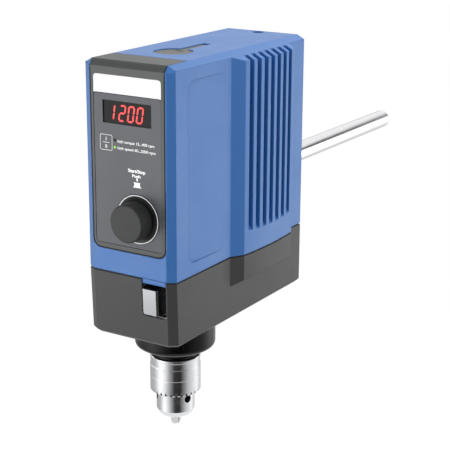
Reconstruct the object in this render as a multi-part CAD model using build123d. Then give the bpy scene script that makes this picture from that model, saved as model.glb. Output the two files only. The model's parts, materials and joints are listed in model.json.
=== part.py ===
"""Overhead laboratory stirrer with a keyed chuck, a hollow spindle and a round support arm.

Millimetres, +Z up.  The origin is on the axis of the support arm, where the arm leaves the
rear face of the housing; the arm runs along +Y and the control panel faces -Y.
"""
from build123d import *
import os
from math import cos, radians, sin, tan

os.makedirs("parts", exist_ok=True)

# ---- housing -------------------------------------------------------------------------------
HOUSING_DEPTH = 181.0
SIDE_WIDTH = 75.2            # across the flat sides
FACE_WIDTH = 63.0            # flat part of the front face
CORNER_DEPTH = 3.7           # front corners, measured along the side
UPPER_HEIGHT = 151.5
LOWER_HEIGHT = 48.6
SEAM_GAP = 1.1
GASKET_INSET = 0.8
GASKET_WIDTH = 2.2
ARM_ABOVE_SEAM = 41.6
WALL = 3.0
FRONT_WALL = 5.5
FACE_INSET_SHARE = 0.75       # how much of an inset the front face and its corners take
CORNER_INSET_SHARE = 0.25
TOP_WALL = 5.5
LOWER_WALL = 3.2
LOWER_FLOOR = 4.0
FRONT_LEAN = 2.0             # how far the lower front face leans back
REAR_EDGE_RADIUS = 4.0       # lower rear edge
BOTTOM_CHAMFER = 2.4

SIDE_CHAMFER_DROP = 3.3      # long top edges, over the corner width
FRONT_EDGE_DROP = 4.6        # rounded front top edge
FRONT_EDGE_RUN = 3.2
FRONT_EDGE_RADIUS = 7.0
CORNER_EDGE_RUN = 3.0

# side bulges with the ventilation fins, distances from the front face
BULGE_START = 74.0
BULGE_FRONT = 84.1
BULGE_MIDDLE = 119.5
BULGE_REAR = 155.4
BULGE_END = 156.9
BULGE_EDGE_OUT = 6.1         # how far its front and rear edges stand out from the side
BULGE_CROWN_OUT = 8.0
BULGE_SKIRT = 18.0           # how far the bulge runs down over the lower housing
BULGE_SKIRT_SLOPE = 4.2
BULGE_SKIRT_RADIUS = 8.0

VENT_COUNT = 7
VENT_FIRST = 89.0            # front edge of the first slot, from the front face
VENT_PITCH = 9.3
VENT_WIDTH = 5.2
VENT_FLOOR_OUT = 1.0         # slot floors stand this far out from the side
VENT_BOTTOM = 15.0           # above the seam, at the mouth of the slot
VENT_SLOPE = 8.0
SLIT_WIDTH = 3.0             # air slit in each slot floor
SLIT_BOTTOM = 40.0
SLIT_HEIGHT = 80.0

PANEL_DIP = 1.3              # shallow side recess, at its front edge
PANEL_DIP_START = 18.8
PANEL_DIP_END = 66.0
PANEL_DIP_BOTTOM = 9.0
PANEL_DIP_TOP = 139.0
PANEL_DIP_RADIUS = 8.5

# ---- control panel, heights above the seam ---------------------------------------------------
BEZEL_HALF_WIDTH = 31.1
BEZEL_BOTTOM = 17.0
BEZEL_CORNER = 6.5
BEZEL_BACK = 27.5            # how far it runs back over the top
BEZEL_DEPTH = 3.2
BEZEL_TOP_THICKNESS = 3.0
BEZEL_GAP = 0.4
SHEET_DEPTH = 0.8            # recess that takes the membrane and the header strip
SHEET_SINK = 0.2
SHEET_LEFT = -28.6
SHEET_RIGHT = 28.3
SHEET_BOTTOM = 20.7
SHEET_SPLIT = 128.7
SHEET_TOP = 141.6
SHEET_CORNER = 2.5
BOARD_OPENING_HALF = 26.0
BOARD_OPENING_BOTTOM = 26.0
BOARD_OPENING_TOP = 138.0

WINDOW_LEFT = -20.9
WINDOW_RIGHT = 20.1
WINDOW_BOTTOM = 107.9
WINDOW_TOP = 124.0
WINDOW_SINK = 1.1
WINDOW_THICKNESS = 1.2
WINDOW_LEDGE = 1.3
DISPLAY_GAP = 0.3

LAMP_X = -10.9
LAMP_HEIGHTS = (96.4, 91.3)
LAMP_RADIUS = 1.0
LAMP_CLEARANCE = 0.12

KNOB_X = 7.8
KNOB_HEIGHT = 42.2
KNOB_RADIUS = 13.6
KNOB_FRONT = 14.2            # how far the knob stands out
KNOB_BACK = 2.0
KNOB_WALL = 2.0
KNOB_FACE = 2.4
KNOB_EDGE = 0.8
KNOB_SEAT_RADIUS = 13.0
KNOB_PUSH = 0.8
RING_RADIUS = 17.7
RING_PROUD = 0.4
RING_SINK = 1.8
RING_RIM = 1.2
RING_CLEARANCE = 0.2
ENCODER_SHAFT_RADIUS = 3.0
ENCODER_BUSH_RADIUS = 4.4
ENCODER_SIZE = 12.4
ENCODER_WHEEL_RADIUS = 4.6
RUNNING_FIT = 0.05
SEAT_FIT = 0.02

BOARD_DEPTH = 9.0            # front face of the control board behind the front face
BOARD_THICKNESS = 1.6
BOARD_HALF_WIDTH = 30.0
BOARD_BOTTOM = 22.0
BOARD_TOP = 141.0
BOARD_SCREW_X = 28.0
BOARD_SCREW_HEIGHTS = (25.0, 138.0)
SPACER_RADIUS = 2.6
BOARD_SCREW_RADIUS = 1.1

# ---- gear shift button in the lower front, depths below the seam -----------------------------
POCKET_LEFT = 10.3
POCKET_RIGHT = 30.8
POCKET_DROP = 28.2
POCKET_CORNER = 3.0
POCKET_DEPTH = 9.0
POCKET_WALL = 2.5
TONGUE_DROP = 3.8
TONGUE_SINK = 0.6
TONGUE_THICKNESS = 1.8
TONGUE_GAP = 0.3
TRAY_WALL = 0.8
TRAY_SINK = 0.8
TRAY_GAP = 0.1
SHIFT_FACE_WIDTH = 11.1
SHIFT_FLANK = 2.6            # its right flank spreads by this much
SHIFT_TOP_DROP = 7.9
SHIFT_BOTTOM_DROP = 26.8
SHIFT_TOP_RISE = 3.2
SHIFT_BEVEL = 1.3            # narrow bevel between its face and its right flank
SHIFT_CORNER = 1.8
SHIFT_PROUD = 0.9
SHIFT_SIDE_GAP = 0.3
SHIFT_REAR_GAP = 0.3
SHIFT_TRAVEL = 4.0
SHIFT_STEM_WIDTH = 5.0
SHIFT_STEM_HEIGHT = 6.0
SHIFT_PLATE_WIDTH = 17.0
SHIFT_PLATE_HEIGHT = 12.0
SHIFT_PLATE_THICKNESS = 1.5
SHIFT_FINGER = 3.0

# ---- top of the housing ----------------------------------------------------------------------
SPINDLE_FROM_FRONT = 56.5
COVER_RADIUS = 13.9
COVER_TAB_WIDTH = 6.4
COVER_THICKNESS = 2.0
COVER_SINK = 0.7
COVER_GAP = 0.4
COVER_UNDER_GAP = 0.1
COVER_PIVOT_FROM_FRONT = 98.0
COVER_PIN_RADIUS = 0.6
COVER_PIN_END = 2.0          # how far the pin reaches into the housing each side
COVER_END_ROOM = 2.0
COVER_GRIP_PLACE = 0.55      # shallow groove for a fingernail, as a share of the radius
COVER_GRIP_RISE = 0.9
PASSAGE_RADIUS = 7.5
GUIDE_WALL = 1.5
GUIDE_FOOT_RADIUS = 17.0
GUIDE_FOOT_HEIGHT = 3.0
ROD_HOLE_RADIUS = 4.75       # socket for an accessory rod
ROD_HOLE_DEPTH = 20.0
ROD_HOLE_WALL = 2.5
ROD_HOLE_FROM_REAR = 6.8

# ---- support arm -----------------------------------------------------------------------------
ARM_RADIUS = 8.0
ARM_LENGTH = 229.5
ARM_END_RADIUS = 2.4
ARM_TENON_RADIUS = 6.0
ARM_TENON_SHORT = 1.0        # the tenon stops this far inside the bracket
BRACKET_WIDTH = 34.0
BRACKET_HEIGHT = 30.0
BRACKET_GAP = 3.5            # between the bracket and the motor
BRACKET_FOOT = 10.0
GRUB_RADIUS = 2.5
GRUB_SPACING_SHARE = 0.47    # of the bracket's depth

# ---- drive train -----------------------------------------------------------------------------
GEAR_MODULE = 1.5
MOTOR_PINION_TEETH = 12
IDLER_GEAR_TEETH = 26
IDLER_PINION_TEETH = 14
SPINDLE_GEAR_TEETH = 28
PINION_WIDTH = 12.0
IDLER_GEAR_WIDTH = 8.0
IDLER_PINION_WIDTH = 11.0
SPINDLE_GEAR_WIDTH = 9.5
TOOTH_THICKNESS = 0.44       # share of the pitch at the pitch circle
PLATE_DROP = 1.3             # drive plate below the top of the lower housing
PLATE_THICKNESS = 8.0
PLATE_HALF_WIDTH = 31.5
PLATE_START = 34.0           # from the front face
PLATE_END_FROM_REAR = 20.0
PLATE_POST_RADIUS = 4.5
PLATE_POST_X = 26.0
PLATE_SCREW_RADIUS = 1.6
PLATE_PILOT_FLOOR = 2.0      # pilot holes stop this far above the floor
PLATE_PILOT_ROOM = 4.0       # and run this far past the screws
BEARING_LIP = 1.0
SHAFT_RADIUS = 4.0
SHAFT_BEARING_RADIUS = 8.0
SHAFT_BEARING_WIDTH = 5.0
SPINDLE_RADIUS = 8.5
SPINDLE_BORE_RADIUS = 5.3
SPINDLE_TOP_RISE = 8.0
SPINDLE_BEARING_RADIUS = 14.0
SPINDLE_BEARING_WIDTH = 7.0
MOTOR_RADIUS = 28.0
MOTOR_HEIGHT = 82.0
MOTOR_CASE_WALL = 2.0
ROTOR_RADIUS = 15.0
ROTOR_GAP = 1.0
MOTOR_SCREW_CIRCLE = 24.0
MOTOR_SCREW_RADIUS = 1.5
FAN_RADIUS = 24.0
FAN_HUB_RADIUS = 7.0
FAN_HEIGHT = 8.0
FAN_BLADES = 9
FAN_BLADE_THICKNESS = 1.2
FAN_GAP = 3.0
FAN_PITCH = 25.0             # of its blades, in degrees

# ---- collar and chuck, depths below the underside of the housing ------------------------------
SPIGOT_RADIUS = 20.0
SPIGOT_LENGTH = 15.5
COLLAR_RADIUS = 30.5
COLLAR_DROP = 20.8           # flat underside
COLLAR_EDGE_RADIUS = 4.0
COLLAR_LIP_RADIUS = 23.5
COLLAR_LIP_DROP = 23.3
COLLAR_SCREW_RADIUS = 2.0
COLLAR_SCREW_DROP = 12.7
COLLAR_SCREW_ANGLE = 42.0
SEAL_RADIUS = 13.0
SEAL_WIDTH = 4.5
LOCK_RING_RADIUS = 17.9
LOCK_RING_TOP_DROP = 24.7
CHUCK_TOP_DROP = 28.0
SLEEVE_RADIUS = 19.3
SLEEVE_WALL = 1.4
SLEEVE_BOTTOM_DROP = 57.3
SLEEVE_LIP = 2.8
SLEEVE_BEVEL = 1.0
SLEEVE_EDGE = 0.6
SLEEVE_GROOVE_DROP = 44.9
SLEEVE_GROOVE = 0.15
WAIST_TOP_DROP = 30.3
WAIST_BOTTOM_DROP = 36.1
WAIST_DEPTH = 0.35
KEY_TEETH = 30
KEY_TOOTH_HEIGHT = 3.2
KEY_TOOTH_SHARE = 0.62       # notch width as a share of the pitch
KEY_TOOTH_LENGTH = 3.6
CHUCK_BODY_RADIUS = 14.6
CHUCK_HEAD_HEIGHT = 3.2
CHUCK_NOSE_RADIUS = 10.0
CHUCK_BODY_DROP = 72.1
CHUCK_NOSE_DROP = 77.8
CHUCK_SHOULDER_RADIUS = 12.9
CHUCK_SHOULDER_DROP = 75.7
CHUCK_SOCKET_DEPTH = 14.0
CHUCK_SOCKET_RADIUS = 6.5
KEY_HOLE_RADIUS = 3.1
KEY_HOLE_DEPTH = 4.5
KEY_HOLE_DROP = 61.9
KEY_HOLE_ANGLE = 74.0
NUT_HEIGHT = 5.0
NUT_SPLIT = 0.6
NUT_GROOVE_RADIUS = 10.2
JAW_RADIUS = 2.8
JAW_ANGLE = 15.0
JAW_OFFSET = 0.3
JAW_LENGTH = 35.0
JAW_TIP_DROP = 85.9
JAW_OPENING = 10.0
JAW_SPLIT = 0.2
JAW_COUNT = 3

# ---- rear sockets, heights above the seam ----------------------------------------------------
INLET_HEIGHT_ABOVE_SEAM = 84.0
INLET_WIDTH = 27.0
INLET_HEIGHT = 20.0
INLET_CORNER = 3.0
INLET_DEPTH = 20.0
INLET_FLANGE_WIDTH = 46.0
INLET_FLANGE_HEIGHT = 24.0
INLET_FLANGE = 2.5
SOCKET_WIDTH = 22.0
SOCKET_HEIGHT = 15.0
SOCKET_DEPTH = 15.0
INLET_PIN_WIDTH = 2.0
INLET_PIN_HEIGHT = 4.0
INLET_PIN_LENGTH = 9.0
INLET_PIN_SPACING = 7.0
INLET_SCREW_EDGE = 4.0       # from the ends of the flange to the screws
INLET_SCREW_RADIUS = 1.5
SWITCH_HEIGHT_ABOVE_SEAM = 116.0
SWITCH_WIDTH = 19.0
SWITCH_HEIGHT = 13.0
SWITCH_DEPTH = 14.0
SWITCH_FLANGE = 1.5
SWITCH_FLANGE_EXTRA = 2.0
SWITCH_WALL = 1.5
ROCKER_GAP = 0.3
ROCKER_TILT = 9.0
ROCKER_EDGE = 2.0
ROCKER_ROOT = 0.35           # half width of its inner end, as a share of its half height
ROCKER_DEPTH = 0.9

# ---- circuit board for the drive ---------------------------------------------------------------
DRIVE_BOARD_START = 16.0
DRIVE_BOARD_LENGTH = 64.0
DRIVE_BOARD_BOTTOM = 34.0
DRIVE_BOARD_HEIGHT = 100.0
DRIVE_BOARD_GAP = 2.5
PARTS_LINE = 0.45            # row of the board's parts, as a share of its length
CAPACITOR_RADIUS = 6.0
CAPACITOR_HEIGHT = 12.0
CAPACITOR_PLACES = (0.25, 0.42, 0.59)
SINK_FINS = 5
SINK_PITCH = 3.0
SINK_DEPTH = 10.0
SINK_START = 0.2
SINK_SHARE = 0.6
PART_BITE = 0.5              # how far a part runs into its board

# ---- fasteners of the housing ------------------------------------------------------------------
HOUSING_POST_RADIUS = 5.6
HOUSING_POST_X = 29.6
HOUSING_POST_FRONT = 25.0
HOUSING_POST_REAR = 12.5
HOUSING_POST_HEIGHT = 30.0
HOUSING_SCREW_RADIUS = 1.6
HOUSING_SCREW_BITE = 16.0
SCREW_CLEARANCE = 0.2
SCREW_HEAD_RADIUS = 3.0
SCREW_HEAD_HEIGHT = 2.6
HEAD_SINK = 0.6
HEX_SHARE = 0.55             # hexagon sockets, as a share of the screw or its head

# ---- planes worked out from the sizes ----------------------------------------------------------
INLET_SCREW_SPACING = INLET_FLANGE_WIDTH - 2 * INLET_SCREW_EDGE
HALF_SIDE = SIDE_WIDTH / 2
HALF_FACE = FACE_WIDTH / 2
FRONT_Y = -HOUSING_DEPTH
SEAM_Z = -ARM_ABOVE_SEAM
UPPER_TOP = SEAM_Z + UPPER_HEIGHT
LOWER_TOP = SEAM_Z - SEAM_GAP
LOWER_BOTTOM = LOWER_TOP - LOWER_HEIGHT
FLOOR_TOP = LOWER_BOTTOM + LOWER_FLOOR
SPINDLE_Y = FRONT_Y + SPINDLE_FROM_FRONT
IDLER_Y = SPINDLE_Y + GEAR_MODULE * (SPINDLE_GEAR_TEETH + IDLER_PINION_TEETH) / 2
MOTOR_Y = IDLER_Y + GEAR_MODULE * (IDLER_GEAR_TEETH + MOTOR_PINION_TEETH) / 2
BRACKET_FRONT = MOTOR_Y + MOTOR_RADIUS + BRACKET_GAP
BRACKET_DEPTH = -WALL - BRACKET_FRONT
PLATE_TOP = LOWER_TOP - PLATE_DROP
PLATE_BOTTOM = PLATE_TOP - PLATE_THICKNESS
SPINDLE_TOP = PLATE_TOP + SPINDLE_TOP_RISE
BOARD_Y = FRONT_Y + BOARD_DEPTH
SHEET_FRONT_Y = FRONT_Y + SHEET_SINK
SHEET_BACK_Y = FRONT_Y + SHEET_DEPTH
BEZEL_BACK_Y = FRONT_Y + BEZEL_DEPTH
KNOB_Z = SEAM_Z + KNOB_HEIGHT
COVER_TOP = UPPER_TOP - COVER_SINK
COVER_PIVOT_Y = FRONT_Y + COVER_PIVOT_FROM_FRONT
COVER_PIVOT_Z = COVER_TOP - COVER_THICKNESS / 2
COVER_FLOOR = COVER_TOP - COVER_THICKNESS - COVER_UNDER_GAP
CHUCK_TOP = LOWER_BOTTOM - CHUCK_TOP_DROP
SLEEVE_BOTTOM = LOWER_BOTTOM - SLEEVE_BOTTOM_DROP
NUT_BOTTOM = SLEEVE_BOTTOM + SLEEVE_LIP
SLEEVE_BORE = SLEEVE_RADIUS - SLEEVE_WALL
JAW_TIP = LOWER_BOTTOM - JAW_TIP_DROP
JAW_TRAVEL = JAW_OPENING / 2 / sin(radians(JAW_ANGLE))
SPIGOT_BOTTOM = LOWER_BOTTOM - SPIGOT_LENGTH
SPINDLE_BEARING_BOTTOM = SPIGOT_BOTTOM + BEARING_LIP


# ---- small makers ------------------------------------------------------------------------------
def along_x(sketch, y, z, x0, x1):
    """A sketch drawn in Y and Z, run from x0 to x1."""
    plane = Plane(origin=(x0, y, z), x_dir=(0, 1, 0), z_dir=(1, 0, 0))
    return extrude(plane * sketch, x1 - x0)


def along_y(sketch, x, z, y0, y1):
    """A sketch drawn in X and -Z, run from y0 to y1."""
    plane = Plane(origin=(x, y0, z), x_dir=(1, 0, 0), z_dir=(0, 1, 0))
    return extrude(plane * sketch, y1 - y0)


def along_z(sketch, x, y, z0, z1):
    """A sketch drawn in X and Y, run from z0 to z1."""
    return extrude(Pos(x, y, z0) * sketch, z1 - z0)


def outline(points):
    return make_face(Polyline(*points, close=True))


def block(x0, x1, y0, y1, z0, z1):
    return Pos((x0 + x1) / 2, (y0 + y1) / 2, (z0 + z1) / 2) * Box(x1 - x0, y1 - y0, z1 - z0)


def rod(radius, x, y, z0, z1):
    return along_z(Circle(radius), x, y, z0, z1)


def ring(outer, inner, x, y, z0, z1):
    return along_z(Circle(outer) - Circle(inner), x, y, z0, z1)


def turned(points, x, y):
    """A profile of (radius, height) points turned about a vertical axis at x, y."""
    face = make_face(Plane.XZ * Polyline(*points, close=True))
    return Pos(x, y, 0) * revolve(face, Axis.Z)


def panel_plate(left, right, bottom, top, corner, y0, y1):
    """A rounded plate parallel to the front face; heights are above the seam."""
    shape = RectangleRounded(right - left, top - bottom, corner)
    return along_y(shape, (left + right) / 2, SEAM_Z + (bottom + top) / 2, y0, y1)


def solids_of(*shapes):
    """Separate solids kept together in one node."""
    return Compound([solid for shape in shapes for solid in shape.solids()])


def spread(count, centre, pitch):
    return [centre + (i - (count - 1) / 2) * pitch for i in range(count)]


# ---- outlines of the housing --------------------------------------------------------------------
def body_points(inset, front, rear_inset=None):
    """Corners of the housing without its bulges, inset from the sides and the rear."""
    side = HALF_SIDE - inset
    face = HALF_FACE - inset * FACE_INSET_SHARE
    corner = FRONT_Y + front + CORNER_DEPTH + inset * CORNER_INSET_SHARE
    nose = FRONT_Y + front
    rear = -inset if rear_inset is None else -rear_inset
    right = [(face, nose), (side, corner), (side, rear)]
    return right + [(-x, y) for x, y in reversed(right)]


def bulge_face(side):
    """Outline of one side bulge; it overlaps the side it stands on."""
    foot = (HALF_SIDE - WALL / 2) * side
    near = (HALF_SIDE + BULGE_EDGE_OUT) * side
    crown = (HALF_SIDE + BULGE_CROWN_OUT) * side
    start = (HALF_SIDE * side, FRONT_Y + BULGE_START)
    front = (near, FRONT_Y + BULGE_FRONT)
    rear = (near, FRONT_Y + BULGE_REAR)
    end = (HALF_SIDE * side, FRONT_Y + BULGE_END)
    arc = ThreePointArc(front, (crown, FRONT_Y + BULGE_MIDDLE), rear)
    back = Polyline(rear, end, (foot, end[1]), (foot, start[1]), start, front)
    return make_face(arc + back)


def housing_plan():
    return outline(body_points(0, 0)) + bulge_face(1) + bulge_face(-1)


def top_edge_cut(start, end, run, drop, reach):
    """A wedge that bevels the top edge from start to end, outward side on the right."""
    along = Vector(end[0] - start[0], end[1] - start[1], 0)
    outward = Vector(along.Y, -along.X, 0).normalized()
    plane = Plane(origin=(start[0], start[1], UPPER_TOP), x_dir=outward, z_dir=along)
    slope = drop / run
    wedge = outline([(-run, 0), (reach, -drop - slope * reach), (reach, 1), (-run, 1)])
    if plane.y_dir.Z < 0:
        wedge = outline([(-run, 0), (reach, drop + slope * reach), (reach, -1), (-run, -1)])
    return extrude(plane * wedge, along.length)


def front_edge_cut():
    """What lies outside the rounded front top edge."""
    low = (FRONT_Y, UPPER_TOP - FRONT_EDGE_DROP)
    high = (FRONT_Y + FRONT_EDGE_RUN, UPPER_TOP)
    arc = RadiusArc(low, high, FRONT_EDGE_RADIUS)
    if arc.position_at(0.5).Y < (low[1] + high[1]) / 2:
        arc = RadiusArc(low, high, -FRONT_EDGE_RADIUS)
    back = Polyline(high, (high[0], high[1] + 1), (low[0] - 1, high[1] + 1), (low[0] - 1, low[1]), low)
    return along_x(make_face(arc + back), 0, 0, -HALF_SIDE, HALF_SIDE)


# ---- upper housing ------------------------------------------------------------------------------
def vent_cuts(side):
    """Slots between the fins of one bulge, open at the top, with the slits in their floors."""
    floor = HALF_SIDE + VENT_FLOOR_OUT
    mouth = HALF_SIDE + BULGE_CROWN_OUT + 1
    low = SEAM_Z + VENT_BOTTOM
    profile = [(floor, UPPER_TOP), (floor, low + VENT_SLOPE), (mouth, low), (mouth, UPPER_TOP)]
    cuts = Part()
    for i in range(VENT_COUNT):
        start = FRONT_Y + VENT_FIRST + i * VENT_PITCH
        slot = along_y(outline([(x * side, -z) for x, z in profile]), 0, 0, start, start + VENT_WIDTH)
        middle = start + VENT_WIDTH / 2
        slit = block(
            HALF_SIDE - WALL * 2, floor + 1,
            middle - SLIT_WIDTH / 2, middle + SLIT_WIDTH / 2,
            SEAM_Z + SLIT_BOTTOM, SEAM_Z + SLIT_BOTTOM + SLIT_HEIGHT,
        )
        cuts += slot + (slit if side > 0 else mirror(slit, Plane.YZ))
    return cuts


def side_dip(side):
    """The shallow recess that fades out towards the bulge."""
    width = PANEL_DIP_END - PANEL_DIP_START + PANEL_DIP_RADIUS
    height = PANEL_DIP_TOP - PANEL_DIP_BOTTOM
    centre_y = FRONT_Y + PANEL_DIP_START + width / 2
    centre_z = SEAM_Z + (PANEL_DIP_TOP + PANEL_DIP_BOTTOM) / 2
    plate = RectangleRounded(width, height, PANEL_DIP_RADIUS)
    window = along_x(plate, centre_y, centre_z, HALF_SIDE - PANEL_DIP, HALF_SIDE + 1)
    start = FRONT_Y + PANEL_DIP_START
    end = FRONT_Y + PANEL_DIP_END
    deep = HALF_SIDE - PANEL_DIP
    ramp = outline([(deep, start), (HALF_SIDE, end), (HALF_SIDE + 1, end), (HALF_SIDE + 1, start)])
    dip = window & along_z(ramp, 0, 0, SEAM_Z, UPPER_TOP)
    return dip if side > 0 else mirror(dip, Plane.YZ)


def bezel_blank(gap):
    """The L-shaped body of the bezel, larger by gap on its sides and end."""
    half = BEZEL_HALF_WIDTH + gap
    bottom = SEAM_Z + BEZEL_BOTTOM - gap
    low = BEZEL_BOTTOM - gap
    front = panel_plate(-half, half, low, UPPER_HEIGHT + BEZEL_CORNER * 2, BEZEL_CORNER, FRONT_Y, BEZEL_BACK_Y)
    front &= block(-half, half, FRONT_Y, BEZEL_BACK_Y, bottom, UPPER_TOP)
    roof = block(-half, half, FRONT_Y, FRONT_Y + BEZEL_BACK + gap, UPPER_TOP - BEZEL_TOP_THICKNESS, UPPER_TOP)
    return front + roof


def cover_outline(extra):
    """Keyhole shape of the shaft cover, from the spindle axis back past its pivot."""
    reach = COVER_PIVOT_Y - SPINDLE_Y
    tab = Pos(0, reach / 2) * Rectangle(COVER_TAB_WIDTH + 2 * extra, reach)
    return Circle(COVER_RADIUS + extra) + tab


def housing_posts():
    """Centres of the posts for the long housing screws."""
    rows = (FRONT_Y + HOUSING_POST_FRONT, -HOUSING_POST_REAR)
    return [(x, y) for x in (-HOUSING_POST_X, HOUSING_POST_X) for y in rows]


def upper_housing():
    shell = along_z(housing_plan(), 0, 0, SEAM_Z, UPPER_TOP)
    corner = (HALF_SIDE, FRONT_Y + CORNER_DEPTH)
    edge = (HALF_FACE, FRONT_Y)
    run = HALF_SIDE - HALF_FACE
    reach = BULGE_CROWN_OUT + 2
    side_cut = top_edge_cut((HALF_SIDE, FRONT_Y - 1), (HALF_SIDE, 1), run, SIDE_CHAMFER_DROP, reach)
    corner_cut = top_edge_cut(edge, corner, CORNER_EDGE_RUN, FRONT_EDGE_DROP, 1)
    shell -= front_edge_cut()
    for cut in (side_cut, corner_cut):
        shell -= cut
        shell -= mirror(cut, Plane.YZ)
    cavity = outline(body_points(WALL, FRONT_WALL))
    room = along_z(cavity, 0, 0, SEAM_Z, UPPER_TOP - TOP_WALL)
    lowered = Pos(0, 0, -TOP_WALL) * side_cut
    room -= lowered + mirror(lowered, Plane.YZ)
    posts = Part()
    for x, y in housing_posts():
        posts += rod(HOUSING_POST_RADIUS, x, y, SEAM_Z, SEAM_Z + HOUSING_POST_HEIGHT)
    socket_y = -ROD_HOLE_FROM_REAR
    socket_low = UPPER_TOP - ROD_HOLE_DEPTH - ROD_HOLE_WALL
    socket_wall = rod(ROD_HOLE_RADIUS + ROD_HOLE_WALL, 0, socket_y, socket_low, UPPER_TOP)
    spacers = Part()
    for x in (-BOARD_SCREW_X, BOARD_SCREW_X):
        for height in BOARD_SCREW_HEIGHTS:
            spacers += along_y(Circle(SPACER_RADIUS), x, SEAM_Z + height, FRONT_Y + FRONT_WALL - 1, BOARD_Y)
    board_rests = Part()
    for y, z in drive_board_screws():
        board_rests += along_x(Circle(SPACER_RADIUS), y, z, -HALF_SIDE + WALL - 1, drive_board_face())
    shell -= room
    shell += (posts + socket_wall) & along_z(outline(body_points(WALL / 2, FRONT_WALL)), 0, 0, SEAM_Z, UPPER_TOP)
    shell += spacers
    shell += board_rests
    tongue_top = SEAM_Z + 1
    shell += block(
        POCKET_LEFT + TONGUE_GAP, POCKET_RIGHT - TONGUE_GAP,
        FRONT_Y + TONGUE_SINK, FRONT_Y + TONGUE_SINK + TONGUE_THICKNESS,
        SEAM_Z - TONGUE_DROP, tongue_top,
    )
    for side in (-1, 1):
        shell -= vent_cuts(side)
        shell -= side_dip(side)
    shell -= bezel_blank(BEZEL_GAP)
    shell -= panel_plate(
        -BOARD_OPENING_HALF, BOARD_OPENING_HALF, BOARD_OPENING_BOTTOM, BOARD_OPENING_TOP,
        BEZEL_CORNER, FRONT_Y, FRONT_Y + FRONT_WALL,
    )
    recess = cover_outline(COVER_GAP)
    end_room = COVER_THICKNESS / 2 + COVER_END_ROOM
    slot_end = Pos(0, COVER_PIVOT_Y - SPINDLE_Y) * Rectangle(COVER_TAB_WIDTH + 2 * COVER_GAP, 2 * end_room)
    shell -= along_z(recess + slot_end, 0, SPINDLE_Y, COVER_FLOOR, UPPER_TOP)
    shell -= rod(PASSAGE_RADIUS, 0, SPINDLE_Y, UPPER_TOP - TOP_WALL, UPPER_TOP)
    shell -= cover_pin_rod(SEAT_FIT)
    shell -= rod(ROD_HOLE_RADIUS, 0, socket_y, UPPER_TOP - ROD_HOLE_DEPTH, UPPER_TOP)
    shell -= along_y(Circle(ARM_TENON_RADIUS + SCREW_CLEARANCE), 0, 0, -WALL, 0)
    shell -= inlet_body(SCREW_CLEARANCE)
    shell -= switch_body(SCREW_CLEARANCE)
    for x in spread(2, 0, INLET_SCREW_SPACING):
        shell -= along_y(Circle(INLET_SCREW_RADIUS + SEAT_FIT), x, inlet_z(), -WALL, 0)
    for x, y in housing_posts():
        shell -= rod(HOUSING_SCREW_RADIUS + SEAT_FIT, x, y, SEAM_Z, SEAM_Z + HOUSING_SCREW_BITE + 2)
    for x in (-BOARD_SCREW_X, BOARD_SCREW_X):
        for height in BOARD_SCREW_HEIGHTS:
            pilot_start = BOARD_Y - BOARD_DEPTH + BEZEL_DEPTH + 1
            shell -= along_y(Circle(BOARD_SCREW_RADIUS + SEAT_FIT), x, SEAM_Z + height, pilot_start, BOARD_Y)
    for y, z in drive_board_screws():
        pilot = Circle(BOARD_SCREW_RADIUS + SEAT_FIT)
        shell -= along_x(pilot, y, z, -HALF_SIDE + WALL / 2, drive_board_face())
    return shell


# ---- lower housing ------------------------------------------------------------------------------
def lower_section(inset, front, z, rear_inset=None):
    """Plan of the lower body, whose front leans back towards its foot."""
    lean = FRONT_LEAN * (LOWER_TOP - z) / LOWER_HEIGHT
    return Pos(0, 0, z) * outline(body_points(inset, front + lean, rear_inset))


def lower_loft(inset, front, z0, z1):
    """The leaning lower body between two heights, inset from its sides."""
    return loft([lower_section(inset, front, z0), lower_section(inset, front, z1)], ruled=True)


def lower_blank():
    """The lower body with its bevelled foot and rounded rear edge."""
    bevel_top = LOWER_BOTTOM + BOTTOM_CHAMFER
    foot = lower_section(BOTTOM_CHAMFER, BOTTOM_CHAMFER, LOWER_BOTTOM, 0)
    body = loft([foot, lower_section(0, 0, bevel_top)], ruled=True)
    body += lower_loft(0, 0, bevel_top, LOWER_TOP)
    round_top = LOWER_BOTTOM + REAR_EDGE_RADIUS
    corner = block(-HALF_SIDE, HALF_SIDE, -REAR_EDGE_RADIUS, 0, LOWER_BOTTOM, round_top)
    corner -= along_x(Circle(REAR_EDGE_RADIUS), -REAR_EDGE_RADIUS, round_top, -HALF_SIDE, HALF_SIDE)
    return body - corner


def bulge_skirt(side):
    """The foot of a side bulge on the lower housing."""
    skirt = along_z(bulge_face(side), 0, 0, LOWER_TOP - BULGE_SKIRT - BULGE_SKIRT_SLOPE, LOWER_TOP)
    low = LOWER_TOP - BULGE_SKIRT
    inner = HALF_SIDE - WALL
    outer = HALF_SIDE + BULGE_CROWN_OUT + 1
    slope = BULGE_SKIRT_SLOPE / BULGE_CROWN_OUT
    deep = low - BULGE_SKIRT_SLOPE - 5
    under = [
        (inner * side, -(low - BULGE_SKIRT_SLOPE - slope * WALL)),
        (outer * side, -(low + slope)),
        (outer * side, -deep),
        (inner * side, -deep),
    ]
    skirt -= along_y(outline(under), 0, 0, FRONT_Y + BULGE_START - 1, FRONT_Y + BULGE_END + 1)
    length = BULGE_END * 2
    height = (BULGE_SKIRT + BULGE_SKIRT_SLOPE) * 2
    rounded = RectangleRounded(length, height, BULGE_SKIRT_RADIUS)
    return skirt & along_x(rounded, FRONT_Y + BULGE_END - length / 2, LOWER_TOP, -SIDE_WIDTH, SIDE_WIDTH)


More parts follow.
